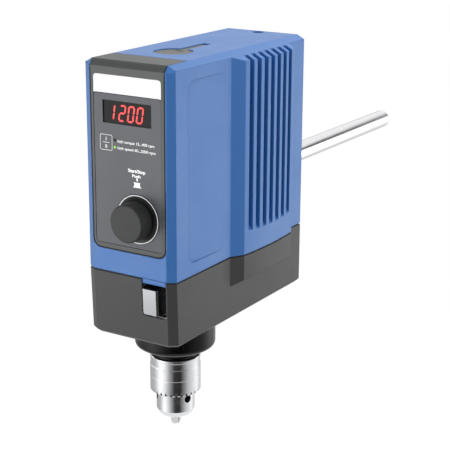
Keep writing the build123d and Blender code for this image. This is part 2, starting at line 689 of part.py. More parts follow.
def pocket(grow, z_top):
    """Space of the shift pocket in the lower front, larger by grow."""
    height = POCKET_DROP * 1.5
    bottom = -POCKET_DROP - grow
    shape = panel_plate(
        POCKET_LEFT - grow, POCKET_RIGHT + grow, bottom, bottom + height,
        POCKET_CORNER + grow, FRONT_Y, FRONT_Y + POCKET_DEPTH + grow,
    )
    return shape & block(
        POCKET_LEFT - grow, POCKET_RIGHT + grow, FRONT_Y, FRONT_Y + POCKET_DEPTH + grow,
        SEAM_Z + bottom, z_top,
    )


def shift_slot():
    """Opening behind the shift button for its stem."""
    left = shift_stem_left() - SHIFT_SIDE_GAP
    right = shift_stem_left() + SHIFT_STEM_WIDTH + SHIFT_TRAVEL + SHIFT_SIDE_GAP
    half = SHIFT_STEM_HEIGHT / 2 + SHIFT_REAR_GAP
    middle = shift_middle_z()
    return block(
        left, right, FRONT_Y + POCKET_DEPTH - TRAY_WALL * 2, FRONT_Y + POCKET_DEPTH + POCKET_WALL + 1,
        middle - half, middle + half,
    )


def plate_posts():
    rows = (FRONT_Y + PLATE_START + PLATE_POST_RADIUS, -PLATE_END_FROM_REAR - PLATE_POST_RADIUS)
    return [(x, y) for x in (-PLATE_POST_X, PLATE_POST_X) for y in rows]


def lower_housing():
    shell = lower_blank()
    for side in (-1, 1):
        shell += bulge_skirt(side)
    room = lower_loft(LOWER_WALL, LOWER_WALL, FLOOR_TOP, LOWER_TOP)
    room -= pocket(POCKET_WALL, LOWER_TOP)
    for x, y in plate_posts():
        room -= rod(PLATE_POST_RADIUS, x, y, FLOOR_TOP, PLATE_BOTTOM)
    for x, y in housing_posts():
        room -= rod(HOUSING_POST_RADIUS, x, y, FLOOR_TOP, LOWER_TOP)
    hub_top = FLOOR_TOP + SHAFT_BEARING_WIDTH
    hub = SHAFT_BEARING_RADIUS + LOWER_WALL
    room -= ring(hub, SHAFT_BEARING_RADIUS + SEAT_FIT, 0, IDLER_Y, FLOOR_TOP, hub_top)
    shell -= room
    shell += rod(SPIGOT_RADIUS, 0, SPINDLE_Y, SPIGOT_BOTTOM, LOWER_BOTTOM)
    shell -= rod(SPINDLE_BEARING_RADIUS + SEAT_FIT, 0, SPINDLE_Y, SPINDLE_BEARING_BOTTOM, FLOOR_TOP)
    shell -= rod(SPINDLE_RADIUS + BEARING_LIP, 0, SPINDLE_Y, SPIGOT_BOTTOM, SPINDLE_BEARING_BOTTOM)
    shell -= pocket(0, LOWER_TOP)
    shell -= shift_slot()
    for x, y in housing_posts():
        shell -= rod(HOUSING_SCREW_RADIUS + SCREW_CLEARANCE, x, y, LOWER_BOTTOM, LOWER_TOP)
        head_top = LOWER_BOTTOM + SCREW_HEAD_HEIGHT + HEAD_SINK
        shell -= rod(SCREW_HEAD_RADIUS + SCREW_CLEARANCE, x, y, LOWER_BOTTOM, head_top)
    for x, y in plate_posts():
        shell -= rod(PLATE_SCREW_RADIUS + SEAT_FIT, x, y, FLOOR_TOP + PLATE_PILOT_FLOOR, PLATE_BOTTOM)
    return shell


def seam_gasket():
    outer = offset(housing_plan(), -GASKET_INSET, kind=Kind.INTERSECTION)
    inner = outline(body_points(GASKET_INSET + GASKET_WIDTH, GASKET_INSET + GASKET_WIDTH))
    loop = along_z(outer - inner, 0, 0, LOWER_TOP, SEAM_Z)
    notch = block(
        POCKET_LEFT, POCKET_RIGHT, FRONT_Y, FRONT_Y + TONGUE_SINK + TONGUE_THICKNESS + TONGUE_GAP,
        LOWER_TOP, SEAM_Z,
    )
    return loop - notch


# ---- control panel ------------------------------------------------------------------------------
def lamp_rods(radius, y0, y1):
    return [along_y(Circle(radius), LAMP_X, SEAM_Z + height, y0, y1) for height in LAMP_HEIGHTS]


def knob_disc(radius, y0, y1):
    return along_y(Circle(radius), KNOB_X, KNOB_Z, y0, y1)


def window_plate(grow, y0, y1):
    return panel_plate(
        WINDOW_LEFT - grow, WINDOW_RIGHT + grow, WINDOW_BOTTOM - grow, WINDOW_TOP + grow,
        SHEET_SINK * 2, y0, y1,
    )


def sheet_blank(front):
    """The rounded field that the membrane and the header strip share."""
    return panel_plate(SHEET_LEFT, SHEET_RIGHT, SHEET_BOTTOM, SHEET_TOP, SHEET_CORNER, front, SHEET_BACK_Y)


def front_bezel():
    frame = bezel_blank(0) - front_edge_cut()
    frame -= sheet_blank(FRONT_Y)
    window_back = FRONT_Y + WINDOW_SINK + WINDOW_THICKNESS
    frame -= window_plate(0, FRONT_Y, window_back)
    frame -= window_plate(-WINDOW_LEDGE, FRONT_Y, BEZEL_BACK_Y)
    frame -= knob_disc(RING_RADIUS + RING_CLEARANCE, FRONT_Y, FRONT_Y + RING_SINK)
    frame -= knob_disc(ENCODER_BUSH_RADIUS + SCREW_CLEARANCE, FRONT_Y, BEZEL_BACK_Y)
    for hole in lamp_rods(LAMP_RADIUS + LAMP_CLEARANCE, FRONT_Y, BEZEL_BACK_Y):
        frame -= hole
    return frame


def panel_membrane():
    sheet = sheet_blank(SHEET_FRONT_Y)
    sheet &= block(SHEET_LEFT, SHEET_RIGHT, SHEET_FRONT_Y, SHEET_BACK_Y, SEAM_Z, SEAM_Z + SHEET_SPLIT)
    sheet -= window_plate(0, FRONT_Y, SHEET_BACK_Y)
    sheet -= knob_disc(RING_RADIUS + RING_CLEARANCE, FRONT_Y, SHEET_BACK_Y)
    for hole in lamp_rods(LAMP_RADIUS + LAMP_CLEARANCE, FRONT_Y, SHEET_BACK_Y):
        sheet -= hole
    return sheet


def header_strip():
    upper_part = block(SHEET_LEFT, SHEET_RIGHT, SHEET_FRONT_Y, SHEET_BACK_Y, SEAM_Z + SHEET_SPLIT, UPPER_TOP)
    return sheet_blank(SHEET_FRONT_Y) & upper_part


def display_window():
    return window_plate(0, FRONT_Y + WINDOW_SINK, FRONT_Y + WINDOW_SINK + WINDOW_THICKNESS)


def display_module():
    front = FRONT_Y + WINDOW_SINK + WINDOW_THICKNESS + DISPLAY_GAP
    return window_plate(-WINDOW_LEDGE * 1.5, front, BOARD_Y)


def range_lamp(index):
    return lamp_rods(LAMP_RADIUS, FRONT_Y, BOARD_Y)[index]


def knob_ring():
    """The dished seat of the knob with its raised rim."""
    front = FRONT_Y - RING_PROUD
    back = FRONT_Y + RING_SINK
    seat = knob_disc(RING_RADIUS, front, back)
    dish = Pos(KNOB_X, 0, KNOB_Z) * Rot(90, 0, 0) * Cone(
        KNOB_SEAT_RADIUS, RING_RADIUS - RING_RIM, RING_PROUD + RING_SINK * 0.6,
        align=(Align.CENTER, Align.CENTER, Align.MIN),
    )
    seat -= Pos(0, front + RING_PROUD + RING_SINK * 0.6, 0) * dish
    return seat - knob_disc(ENCODER_BUSH_RADIUS + SCREW_CLEARANCE, front, back)


def encoder_housing():
    back = BOARD_Y
    case = along_y(RectangleRounded(ENCODER_SIZE, ENCODER_SIZE, 1), KNOB_X, KNOB_Z, BEZEL_BACK_Y, back)
    bush = knob_disc(ENCODER_BUSH_RADIUS, FRONT_Y - RING_PROUD, BEZEL_BACK_Y)
    wheel_front = encoder_wheel_front() - ROCKER_GAP
    wheel_room = knob_disc(ENCODER_WHEEL_RADIUS + ROCKER_GAP, wheel_front, back - BEARING_LIP)
    bore = knob_disc(ENCODER_SHAFT_RADIUS + RUNNING_FIT, FRONT_Y - RING_PROUD, back - BEARING_LIP)
    return case + bush - wheel_room - bore


def encoder_wheel_front():
    return BEZEL_BACK_Y + BEARING_LIP + ROCKER_GAP


def encoder_wheel():
    """Detent wheel that turns with the shaft and lets it slide."""
    back = BOARD_Y - BEARING_LIP - ROCKER_GAP
    wheel = Circle(ENCODER_WHEEL_RADIUS)
    notches = Sketch()
    for location in PolarLocations(ENCODER_WHEEL_RADIUS, 12):
        notches += location * Circle(0.6)
    disc = along_y(wheel - notches, KNOB_X, KNOB_Z, encoder_wheel_front(), back)
    return disc - knob_disc(ENCODER_SHAFT_RADIUS + RUNNING_FIT, encoder_wheel_front(), back)


def encoder_shaft():
    back = BOARD_Y - BEARING_LIP - KNOB_PUSH - ROCKER_GAP
    return knob_disc(ENCODER_SHAFT_RADIUS, FRONT_Y - KNOB_FRONT + KNOB_FACE + 1, back)


def control_knob():
    """Hollow knob with a smooth skirt and a hub on the encoder shaft."""
    front = FRONT_Y - KNOB_FRONT
    back = FRONT_Y - KNOB_BACK
    knob = knob_disc(KNOB_RADIUS, front, back)
    knob = chamfer(knob.edges().group_by(Axis.Y)[0], KNOB_EDGE)
    knob -= knob_disc(KNOB_RADIUS - KNOB_WALL, front + KNOB_FACE, back)
    knob += knob_disc(ENCODER_SHAFT_RADIUS + KNOB_WALL, front + KNOB_FACE - 1, back)
    return knob - knob_disc(ENCODER_SHAFT_RADIUS + SEAT_FIT, front + KNOB_FACE + 1, back)


def control_board():
    back = BOARD_Y + BOARD_THICKNESS
    half = BOARD_HALF_WIDTH
    board = block(-half, half, BOARD_Y, back, SEAM_Z + BOARD_BOTTOM, SEAM_Z + BOARD_TOP)
    for x in (-BOARD_SCREW_X, BOARD_SCREW_X):
        for height in BOARD_SCREW_HEIGHTS:
            hole = Circle(BOARD_SCREW_RADIUS + SCREW_CLEARANCE)
            board -= along_y(hole, x, SEAM_Z + height, BOARD_Y, back)
    return board


def board_screws():
    screws = []
    back = BOARD_Y + BOARD_THICKNESS
    start = BOARD_Y - BOARD_DEPTH + FRONT_WALL
    for x in (-BOARD_SCREW_X, BOARD_SCREW_X):
        for height in BOARD_SCREW_HEIGHTS:
            z = SEAM_Z + height
            shank = along_y(Circle(BOARD_SCREW_RADIUS), x, z, start, back)
            screws.append(shank + along_y(Circle(BOARD_SCREW_RADIUS * 2), x, z, back, back + BOARD_SCREW_RADIUS))
    face = drive_board_face() + BOARD_THICKNESS
    for y, z in drive_board_screws():
        shank = along_x(Circle(BOARD_SCREW_RADIUS), y, z, -HALF_SIDE + WALL, face)
        screws.append(shank + along_x(Circle(BOARD_SCREW_RADIUS * 2), y, z, face, face + BOARD_SCREW_RADIUS))
    return solids_of(*screws)


# ---- board of the drive ---------------------------------------------------------------------------
def drive_board_face():
    """Outer face of the drive board, held off the left wall."""
    return -HALF_SIDE + WALL + DRIVE_BOARD_GAP


def drive_board_screws():
    low = SEAM_Z + DRIVE_BOARD_BOTTOM + SPACER_RADIUS * 2
    high = SEAM_Z + DRIVE_BOARD_BOTTOM + DRIVE_BOARD_HEIGHT - SPACER_RADIUS * 2
    near = FRONT_Y + DRIVE_BOARD_START + SPACER_RADIUS * 2
    far = FRONT_Y + DRIVE_BOARD_START + DRIVE_BOARD_LENGTH - SPACER_RADIUS * 2
    return [(y, z) for y in (near, far) for z in (low, high)]


def drive_board():
    """Board with its heat sink, capacitors and choke."""
    x0 = drive_board_face()
    x1 = x0 + BOARD_THICKNESS
    y0 = FRONT_Y + DRIVE_BOARD_START
    y1 = y0 + DRIVE_BOARD_LENGTH
    z0 = SEAM_Z + DRIVE_BOARD_BOTTOM
    board = block(x0, x1, y0, y1, z0, z0 + DRIVE_BOARD_HEIGHT)
    for y, z in drive_board_screws():
        board -= along_x(Circle(BOARD_SCREW_RADIUS + SCREW_CLEARANCE), y, z, x0, x1)
    middle = y0 + DRIVE_BOARD_LENGTH * PARTS_LINE
    low = x1 - PART_BITE
    for share in CAPACITOR_PLACES:
        z = z0 + DRIVE_BOARD_HEIGHT * share
        board += along_x(Circle(CAPACITOR_RADIUS), middle - CAPACITOR_HEIGHT, z, low, x1 + CAPACITOR_HEIGHT)
    sink_low = z0 + DRIVE_BOARD_HEIGHT * SINK_START
    sink_high = sink_low + DRIVE_BOARD_HEIGHT * SINK_SHARE
    for i in range(SINK_FINS):
        fin = middle + i * SINK_PITCH
        board += block(low, x1 + SINK_DEPTH, fin, fin + SINK_PITCH / 3, sink_low, sink_high)
    return board


# ---- gear shift button ---------------------------------------------------------------------------
def shift_middle_z():
    return SEAM_Z - (SHIFT_TOP_DROP + SHIFT_BOTTOM_DROP) / 2


def shift_left():
    return POCKET_LEFT + TRAY_WALL + SHIFT_SIDE_GAP


def shift_stem_left():
    return shift_left() + (SHIFT_FACE_WIDTH + SHIFT_FLANK - SHIFT_STEM_WIDTH) / 2


def shift_tray():
    """Bright tray that lines the pocket round the button."""
    top = SEAM_Z - TONGUE_DROP + 1
    space = pocket(-TRAY_GAP, top)
    rim = FRONT_Y + TRAY_SINK + FRONT_LEAN
    tray = space - block(POCKET_LEFT, POCKET_RIGHT, FRONT_Y, rim, SEAM_Z - POCKET_DROP, LOWER_TOP)
    inner = panel_plate(
        POCKET_LEFT + TRAY_WALL, POCKET_RIGHT - TRAY_WALL, -POCKET_DROP + TRAY_WALL, -TONGUE_DROP,
        POCKET_CORNER - TRAY_WALL, FRONT_Y, FRONT_Y + POCKET_DEPTH - TRAY_WALL,
    )
    behind_tongue = block(POCKET_LEFT, POCKET_RIGHT, FRONT_Y, FRONT_Y + POCKET_DEPTH, SEAM_Z - TONGUE_DROP, top)
    return tray - inner - behind_tongue - shift_slot()


def shift_section(z, back):
    """Plan of the shift button at height z: flat face, narrow bevel, flank that spreads backwards."""
    left = shift_left()
    right = left + SHIFT_FACE_WIDTH
    front = FRONT_Y - SHIFT_PROUD + FRONT_LEAN * (SEAM_Z - z) / LOWER_HEIGHT
    bevel_end = (right + SHIFT_BEVEL, front + SHIFT_BEVEL)
    points = [(left, front), (right, front), bevel_end, (right + SHIFT_FLANK, back), (left, back)]
    return Pos(0, 0, z) * outline(points)


def shift_button():
    """Push block with a dark sloping top, one bevelled edge and the stem that carries the slide."""
    top = SEAM_Z - SHIFT_TOP_DROP
    bottom = SEAM_Z - SHIFT_BOTTOM_DROP
    back = FRONT_Y + POCKET_DEPTH - TRAY_WALL - SHIFT_REAR_GAP
    high = top + SHIFT_TOP_RISE
    button = loft([shift_section(bottom, back), shift_section(high, back)], ruled=True)
    front = FRONT_Y - SHIFT_PROUD
    width = SHIFT_FACE_WIDTH + SHIFT_FLANK
    left = shift_left()
    slope = outline([(front, top), (back, high), (back, high + 1), (front - 1, high + 1), (front - 1, top)])
    button -= along_x(slope, 0, 0, left - 1, left + width + 1)
    outer = RectangleRounded(width, high - bottom, SHIFT_CORNER)
    button &= along_y(outer, left + width / 2, (bottom + high) / 2, front - 1, back)
    stem = Rectangle(SHIFT_STEM_WIDTH, SHIFT_STEM_HEIGHT)
    stem_x = shift_stem_left() + SHIFT_STEM_WIDTH / 2
    return button + along_y(stem, stem_x, shift_middle_z(), back - 1, shift_plate_front())


def shift_plate_front():
    return FRONT_Y + POCKET_DEPTH + POCKET_WALL + SHIFT_REAR_GAP


def shift_plate():
    """Steel slide behind the pocket that carries the range switch finger."""
    front = shift_plate_front()
    back = front + SHIFT_PLATE_THICKNESS
    x = shift_stem_left() + SHIFT_STEM_WIDTH / 2
    z = shift_middle_z()
    plate = along_y(Rectangle(SHIFT_PLATE_WIDTH, SHIFT_PLATE_HEIGHT), x, z, front, back)
    return plate + along_y(Rectangle(SHIFT_FINGER, SHIFT_FINGER), x, z, front, back + SHIFT_FINGER)


# ---- shaft cover -----------------------------------------------------------------------------------
def cover_pin_rod(grow):
    half = COVER_TAB_WIDTH / 2 + COVER_GAP + COVER_PIN_END
    return along_x(Circle(COVER_PIN_RADIUS + grow), COVER_PIVOT_Y, COVER_PIVOT_Z, -half, half)


def shaft_cover():
    """Round lid with a tab that swings on the pin at its rear end."""
    lid = along_z(cover_outline(0), 0, SPINDLE_Y, COVER_TOP - COVER_THICKNESS, COVER_TOP)
    half = COVER_TAB_WIDTH / 2
    lid += along_x(Circle(COVER_THICKNESS / 2), COVER_PIVOT_Y, COVER_PIVOT_Z, -half, half)
    grip_y = SPINDLE_Y + COVER_RADIUS * COVER_GRIP_PLACE
    lid -= along_x(Circle(COVER_THICKNESS), grip_y, COVER_TOP + COVER_GRIP_RISE, -half, half)
    return lid - cover_pin_rod(RUNNING_FIT)


def guide_tube():
    """Fixed tube that leads a stirring shaft from the top opening into the spindle."""
    outer = PASSAGE_RADIUS + GUIDE_WALL
    bearing_room = SPINDLE_BEARING_RADIUS - 1.5
    top = UPPER_TOP - TOP_WALL
    neck = SPINDLE_TOP + GUIDE_WALL
    foot = PLATE_TOP
    return turned([
        (bearing_room, foot), (GUIDE_FOOT_RADIUS, foot), (GUIDE_FOOT_RADIUS, foot + GUIDE_FOOT_HEIGHT),
        (bearing_room + GUIDE_WALL, foot + GUIDE_FOOT_HEIGHT), (bearing_room + GUIDE_WALL, neck),
        (outer, neck + bearing_room - PASSAGE_RADIUS), (outer, top),
        (PASSAGE_RADIUS, top), (PASSAGE_RADIUS, neck + bearing_room - PASSAGE_RADIUS), (bearing_room, neck),
    ], 0, SPINDLE_Y)


# ---- support arm -------------------------------------------------------------------------------------
def support_arm():
    arm = along_y(Circle(ARM_RADIUS), 0, 0, 0, ARM_LENGTH)
    arm = fillet(arm.edges().group_by(Axis.Y)[-1], ARM_END_RADIUS)
    return arm + along_y(Circle(ARM_TENON_RADIUS), 0, 0, BRACKET_FRONT + ARM_TENON_SHORT, 0)


def arm_bracket():
    """Cast block behind the rear wall that clamps the tenon of the arm."""
    back = -WALL
    front = BRACKET_FRONT
    half_width = BRACKET_WIDTH / 2
    half_height = BRACKET_HEIGHT / 2
    cast = block(-half_width, half_width, front, back, -half_height, half_height)
    cast = chamfer(cast.edges().filter_by(Axis.Y), half_height / 4)
    foot_back = -LOWER_WALL - SCREW_CLEARANCE
    cast += block(-half_width, half_width, foot_back - BRACKET_FOOT, foot_back, PLATE_TOP, -half_height + 1)
    cast -= along_y(Circle(ARM_TENON_RADIUS + SEAT_FIT), 0, 0, front, back)
    for y in grub_rows():
        cast -= rod(GRUB_RADIUS + SEAT_FIT, 0, y, ARM_TENON_RADIUS - 1, half_height)
    return cast


def grub_rows():
    return spread(2, -WALL - BRACKET_DEPTH / 2, BRACKET_DEPTH * GRUB_SPACING_SHARE)


def arm_screws():
    top = BRACKET_HEIGHT / 2 - 1
    grubs = []
    for y in grub_rows():
        grub = rod(GRUB_RADIUS, 0, y, ARM_TENON_RADIUS + SEAT_FIT, top)
        grubs.append(grub - along_z(RegularPolygon(GRUB_RADIUS * HEX_SHARE, 6), 0, y, top - GRUB_RADIUS, top))
    return solids_of(*grubs)


# ---- drive train --------------------------------------------------------------------------------------
def gear_sketch(teeth, first_angle):
    """Straight-flanked teeth with one tooth centred on first_angle."""
    pitch_radius = GEAR_MODULE * teeth / 2
    tip = pitch_radius + GEAR_MODULE * 0.9
    root = pitch_radius - GEAR_MODULE * 1.2
    step = 360 / teeth
    half = step * TOOTH_THICKNESS / 2
    points = []
    for i in range(teeth):
        middle = first_angle + i * step
        for radius, share in ((root, -1.55), (tip, -0.5), (tip, 0.5), (root, 1.55)):
            angle = radians(middle + half * share)
            points.append((radius * cos(angle), radius * sin(angle)))
    return outline(points)


def gear(teeth, first_angle, bore, y, z0, width):
    return along_z(gear_sketch(teeth, first_angle) - Circle(bore), 0, y, z0, z0 + width)


def mesh_gap_angle(teeth, towards):
    """First-tooth angle that leaves a gap in the direction towards."""
    return towards + 180 / teeth


SPINDLE_GEAR_Z = FLOOR_TOP + SHAFT_BEARING_WIDTH + 2.0
IDLER_GEAR_Z = SPINDLE_GEAR_Z + IDLER_PINION_WIDTH + 3.0


def drive_plate():
    """Plate that carries the motor and the upper bearings."""
    y0 = FRONT_Y + PLATE_START
    y1 = -PLATE_END_FROM_REAR
    plate = block(-PLATE_HALF_WIDTH, PLATE_HALF_WIDTH, y0, y1, PLATE_BOTTOM, PLATE_TOP)
    plate = fillet(plate.edges().filter_by(Axis.Z), PLATE_POST_RADIUS)
    tongue = BRACKET_WIDTH / 2
    plate += block(-tongue, tongue, y1 - 1, -LOWER_WALL - SCREW_CLEARANCE, PLATE_BOTTOM, PLATE_TOP)
    lip = PLATE_BOTTOM + BEARING_LIP
    plate -= rod(SPINDLE_BEARING_RADIUS + SEAT_FIT, 0, SPINDLE_Y, lip, PLATE_TOP)
    plate -= rod(SPINDLE_RADIUS + BEARING_LIP, 0, SPINDLE_Y, PLATE_BOTTOM, lip)
    plate -= rod(SHAFT_BEARING_RADIUS + SEAT_FIT, 0, IDLER_Y, PLATE_BOTTOM, PLATE_BOTTOM + SHAFT_BEARING_WIDTH)
    plate -= rod(SHAFT_RADIUS + BEARING_LIP, 0, MOTOR_Y, PLATE_BOTTOM, PLATE_TOP)
    for x, y in plate_posts():
        plate -= rod(PLATE_SCREW_RADIUS + SCREW_CLEARANCE, x, y, PLATE_BOTTOM, PLATE_TOP)
    for location in PolarLocations(MOTOR_SCREW_CIRCLE, 4, start_angle=45):
        x, y = location.position.X, location.position.Y + MOTOR_Y
        plate -= rod(MOTOR_SCREW_RADIUS + SCREW_CLEARANCE, x, y, PLATE_BOTTOM, PLATE_TOP)
    return plate


def plate_screws():
    screws = []
    for x, y in plate_posts():
        shank = rod(PLATE_SCREW_RADIUS, x, y, FLOOR_TOP + PLATE_PILOT_FLOOR + PLATE_PILOT_ROOM, PLATE_TOP)
        head = rod(SCREW_HEAD_RADIUS, x, y, PLATE_TOP, PLATE_TOP + PLATE_DROP + SEAM_GAP / 2)
        screws.append(shank + head)
    return solids_of(*screws)


def motor_case():
    bottom = PLATE_TOP
    top = bottom + MOTOR_HEIGHT
    can = rod(MOTOR_RADIUS, 0, MOTOR_Y, bottom, top)
    can = fillet(can.edges().group_by(Axis.Z)[-1], MOTOR_CASE_WALL)
    can -= rod(MOTOR_RADIUS - MOTOR_CASE_WALL, 0, MOTOR_Y, bottom + MOTOR_CASE_WALL * 2, top - MOTOR_CASE_WALL)
    can -= rod(SHAFT_RADIUS + RUNNING_FIT, 0, MOTOR_Y, bottom, top)
    for location in PolarLocations(MOTOR_SCREW_CIRCLE, 4, start_angle=45):
        x, y = location.position.X, location.position.Y + MOTOR_Y
        can -= rod(MOTOR_SCREW_RADIUS + SEAT_FIT, x, y, bottom, bottom + MOTOR_CASE_WALL * 2)
    return can


def motor_stator():
    outer = MOTOR_RADIUS - MOTOR_CASE_WALL
    bottom = PLATE_TOP + MOTOR_CASE_WALL * 2
    top = PLATE_TOP + MOTOR_HEIGHT - MOTOR_CASE_WALL
    return ring(outer, ROTOR_RADIUS + ROTOR_GAP, 0, MOTOR_Y, bottom, top)


def motor_screws():
    screws = []
    for location in PolarLocations(MOTOR_SCREW_CIRCLE, 4, start_angle=45):
        x, y = location.position.X, location.position.Y + MOTOR_Y
        shank = rod(MOTOR_SCREW_RADIUS, x, y, PLATE_BOTTOM, PLATE_TOP + MOTOR_CASE_WALL * 2)
        head = rod(SCREW_HEAD_RADIUS * 0.9, x, y, PLATE_BOTTOM - SCREW_HEAD_HEIGHT * 0.8, PLATE_BOTTOM)
        screws.append(shank + head)
    return solids_of(*screws)


def motor_rotor():
    """Rotor core on the shaft that carries the pinion below and the fan above."""
    case_floor = PLATE_TOP + MOTOR_CASE_WALL * 2
    case_top = PLATE_TOP + MOTOR_HEIGHT - MOTOR_CASE_WALL
    core = rod(ROTOR_RADIUS, 0, MOTOR_Y, case_floor + ROTOR_GAP, case_top - ROTOR_GAP)
    shaft = rod(SHAFT_RADIUS, 0, MOTOR_Y, IDLER_GEAR_Z - 2, PLATE_TOP + MOTOR_HEIGHT + FAN_GAP + FAN_HEIGHT)
    return core + shaft


def drive_pinion():
    low = IDLER_GEAR_Z - 1
    first = mesh_gap_angle(MOTOR_PINION_TEETH, -90)
    return gear(MOTOR_PINION_TEETH, first, SHAFT_RADIUS + SEAT_FIT, MOTOR_Y, low, PINION_WIDTH)


def cooling_fan():
    low = PLATE_TOP + MOTOR_HEIGHT + FAN_GAP
    fan = rod(FAN_HUB_RADIUS, 0, 0, low, low + FAN_HEIGHT)
    blade_length = FAN_RADIUS - FAN_HUB_RADIUS + 1
    blade_middle = FAN_HUB_RADIUS - 1 + blade_length / 2
    blade = Box(blade_length, FAN_BLADE_THICKNESS, FAN_HEIGHT)
    for i in range(FAN_BLADES):
        place = Rot(0, 0, i * 360 / FAN_BLADES) * Pos(blade_middle, 0, low + FAN_HEIGHT / 2)
        fan += place * Rot(FAN_PITCH, 0, 0) * blade
    fan &= rod(FAN_RADIUS, 0, 0, low, low + FAN_HEIGHT)
    return Pos(0, MOTOR_Y, 0) * (fan - rod(SHAFT_RADIUS + SEAT_FIT, 0, 0, low, low + FAN_HEIGHT))


def idler_shaft():
    return rod(SHAFT_RADIUS, 0, IDLER_Y, FLOOR_TOP + ROTOR_GAP / 2, PLATE_BOTTOM + SHAFT_BEARING_WIDTH)


def idler_gear():
    return gear(IDLER_GEAR_TEETH, 90, SHAFT_RADIUS + SEAT_FIT, IDLER_Y, IDLER_GEAR_Z, IDLER_GEAR_WIDTH)


def idler_pinion():
    first = mesh_gap_angle(IDLER_PINION_TEETH, -90)
    low = SPINDLE_GEAR_Z - 0.5
    return gear(IDLER_PINION_TEETH, first, SHAFT_RADIUS + SEAT_FIT, IDLER_Y, low, IDLER_PINION_WIDTH)


def idler_bearings():
    rings = []
    for z in (FLOOR_TOP, PLATE_BOTTOM):
        rings.append(ring(SHAFT_BEARING_RADIUS, SHAFT_RADIUS + SEAT_FIT, 0, IDLER_Y, z, z + SHAFT_BEARING_WIDTH))
    return solids_of(*rings)


def spindle_gear():
    return gear(SPINDLE_GEAR_TEETH, 90, SPINDLE_RADIUS + SEAT_FIT, SPINDLE_Y, SPINDLE_GEAR_Z, SPINDLE_GEAR_WIDTH)


def spindle_bearing(bottom):
    top = bottom + SPINDLE_BEARING_WIDTH
    return ring(SPINDLE_BEARING_RADIUS, SPINDLE_RADIUS + SEAT_FIT, 0, SPINDLE_Y, bottom, top)


def hollow_spindle():
    """Tube that a stirring shaft passes through; its lower end screws into the chuck."""
    shoulder = LOWER_BOTTOM - LOCK_RING_TOP_DROP
    lower_end = CHUCK_TOP - CHUCK_SOCKET_DEPTH
    return turned([
        (SPINDLE_BORE_RADIUS, lower_end), (CHUCK_SOCKET_RADIUS, lower_end), (CHUCK_SOCKET_RADIUS, shoulder),
        (SPINDLE_RADIUS, shoulder), (SPINDLE_RADIUS, SPINDLE_TOP), (SPINDLE_BORE_RADIUS, SPINDLE_TOP),
    ], 0, SPINDLE_Y)


# ---- collar -----------------------------------------------------------------------------------------
def collar_screw_cut(radius, inner, outer):
    """Radial rods for the two collar screws."""
    rods = []
    for angle in (COLLAR_SCREW_ANGLE, COLLAR_SCREW_ANGLE + 180):
        outward = Vector(sin(radians(angle)), -cos(radians(angle)), 0)
        start = Vector(0, SPINDLE_Y, LOWER_BOTTOM - COLLAR_SCREW_DROP) + outward * inner
        rods.append(extrude(Plane(origin=start, z_dir=outward) * Circle(radius), outer - inner))
    return rods


def spindle_collar():
    """Round guard collar clamped on the spigot of the lower housing."""
    under = LOWER_BOTTOM - COLLAR_DROP
    lip = LOWER_BOTTOM - COLLAR_LIP_DROP
    lip_chamfer = 1.0
    seal_top = lip + SEAL_WIDTH
    bore = SPIGOT_RADIUS + SEAT_FIT
    collar = turned([
        (bore, LOWER_BOTTOM), (COLLAR_RADIUS, LOWER_BOTTOM), (COLLAR_RADIUS, under), (COLLAR_LIP_RADIUS, under),
        (COLLAR_LIP_RADIUS, lip + lip_chamfer), (COLLAR_LIP_RADIUS - lip_chamfer, lip),
        (SEAL_RADIUS + SEAT_FIT, lip), (SEAL_RADIUS + SEAT_FIT, seal_top),
        (SPINDLE_RADIUS + BEARING_LIP, seal_top),
        (SPINDLE_RADIUS + BEARING_LIP, SPIGOT_BOTTOM), (bore, SPIGOT_BOTTOM),
    ], 0, SPINDLE_Y)
    rim = collar.edges().filter_by(GeomType.CIRCLE).filter_by(lambda e: abs(e.radius - COLLAR_RADIUS) < 0.01)
    collar = fillet(rim.group_by(Axis.Z)[0], COLLAR_EDGE_RADIUS)
    for hole in collar_screw_cut(COLLAR_SCREW_RADIUS + SEAT_FIT, SPIGOT_RADIUS, COLLAR_RADIUS + 1):
        collar -= hole
    return collar


def collar_screws():
    return solids_of(*collar_screw_cut(COLLAR_SCREW_RADIUS, SPIGOT_RADIUS, COLLAR_RADIUS - 3))


def spindle_seal():
    lip = LOWER_BOTTOM - COLLAR_LIP_DROP
    return ring(SEAL_RADIUS, SPINDLE_RADIUS + RUNNING_FIT * 2, 0, SPINDLE_Y, lip, lip + SEAL_WIDTH)


# ---- chuck ------------------------------------------------------------------------------------------
def lock_ring():
    top = LOWER_BOTTOM - LOCK_RING_TOP_DROP
    return turned([
        (CHUCK_SOCKET_RADIUS + SEAT_FIT, CHUCK_TOP), (LOCK_RING_RADIUS, CHUCK_TOP),
        (LOCK_RING_RADIUS, top - 1), (LOCK_RING_RADIUS - 1, top), (CHUCK_SOCKET_RADIUS + SEAT_FIT, top),
    ], 0, SPINDLE_Y)


def jaw_angle(index):
    return KEY_HOLE_ANGLE + 60 + index * 360 / JAW_COUNT


def jaw_rod(index, radius, start, length):
    """A rod on the sloping axis of one jaw, start measured up from its tip."""
    turn = radians(jaw_angle(index))
    outward = Vector(sin(turn), -cos(turn), 0)
    tilt = radians(JAW_ANGLE)
    direction = outward * sin(tilt) + Vector(0, 0, cos(tilt))
    base = Vector(0, SPINDLE_Y, JAW_TIP) + outward * JAW_OFFSET + direction * start
    return extrude(Plane(origin=base, z_dir=direction) * Circle(radius), length)


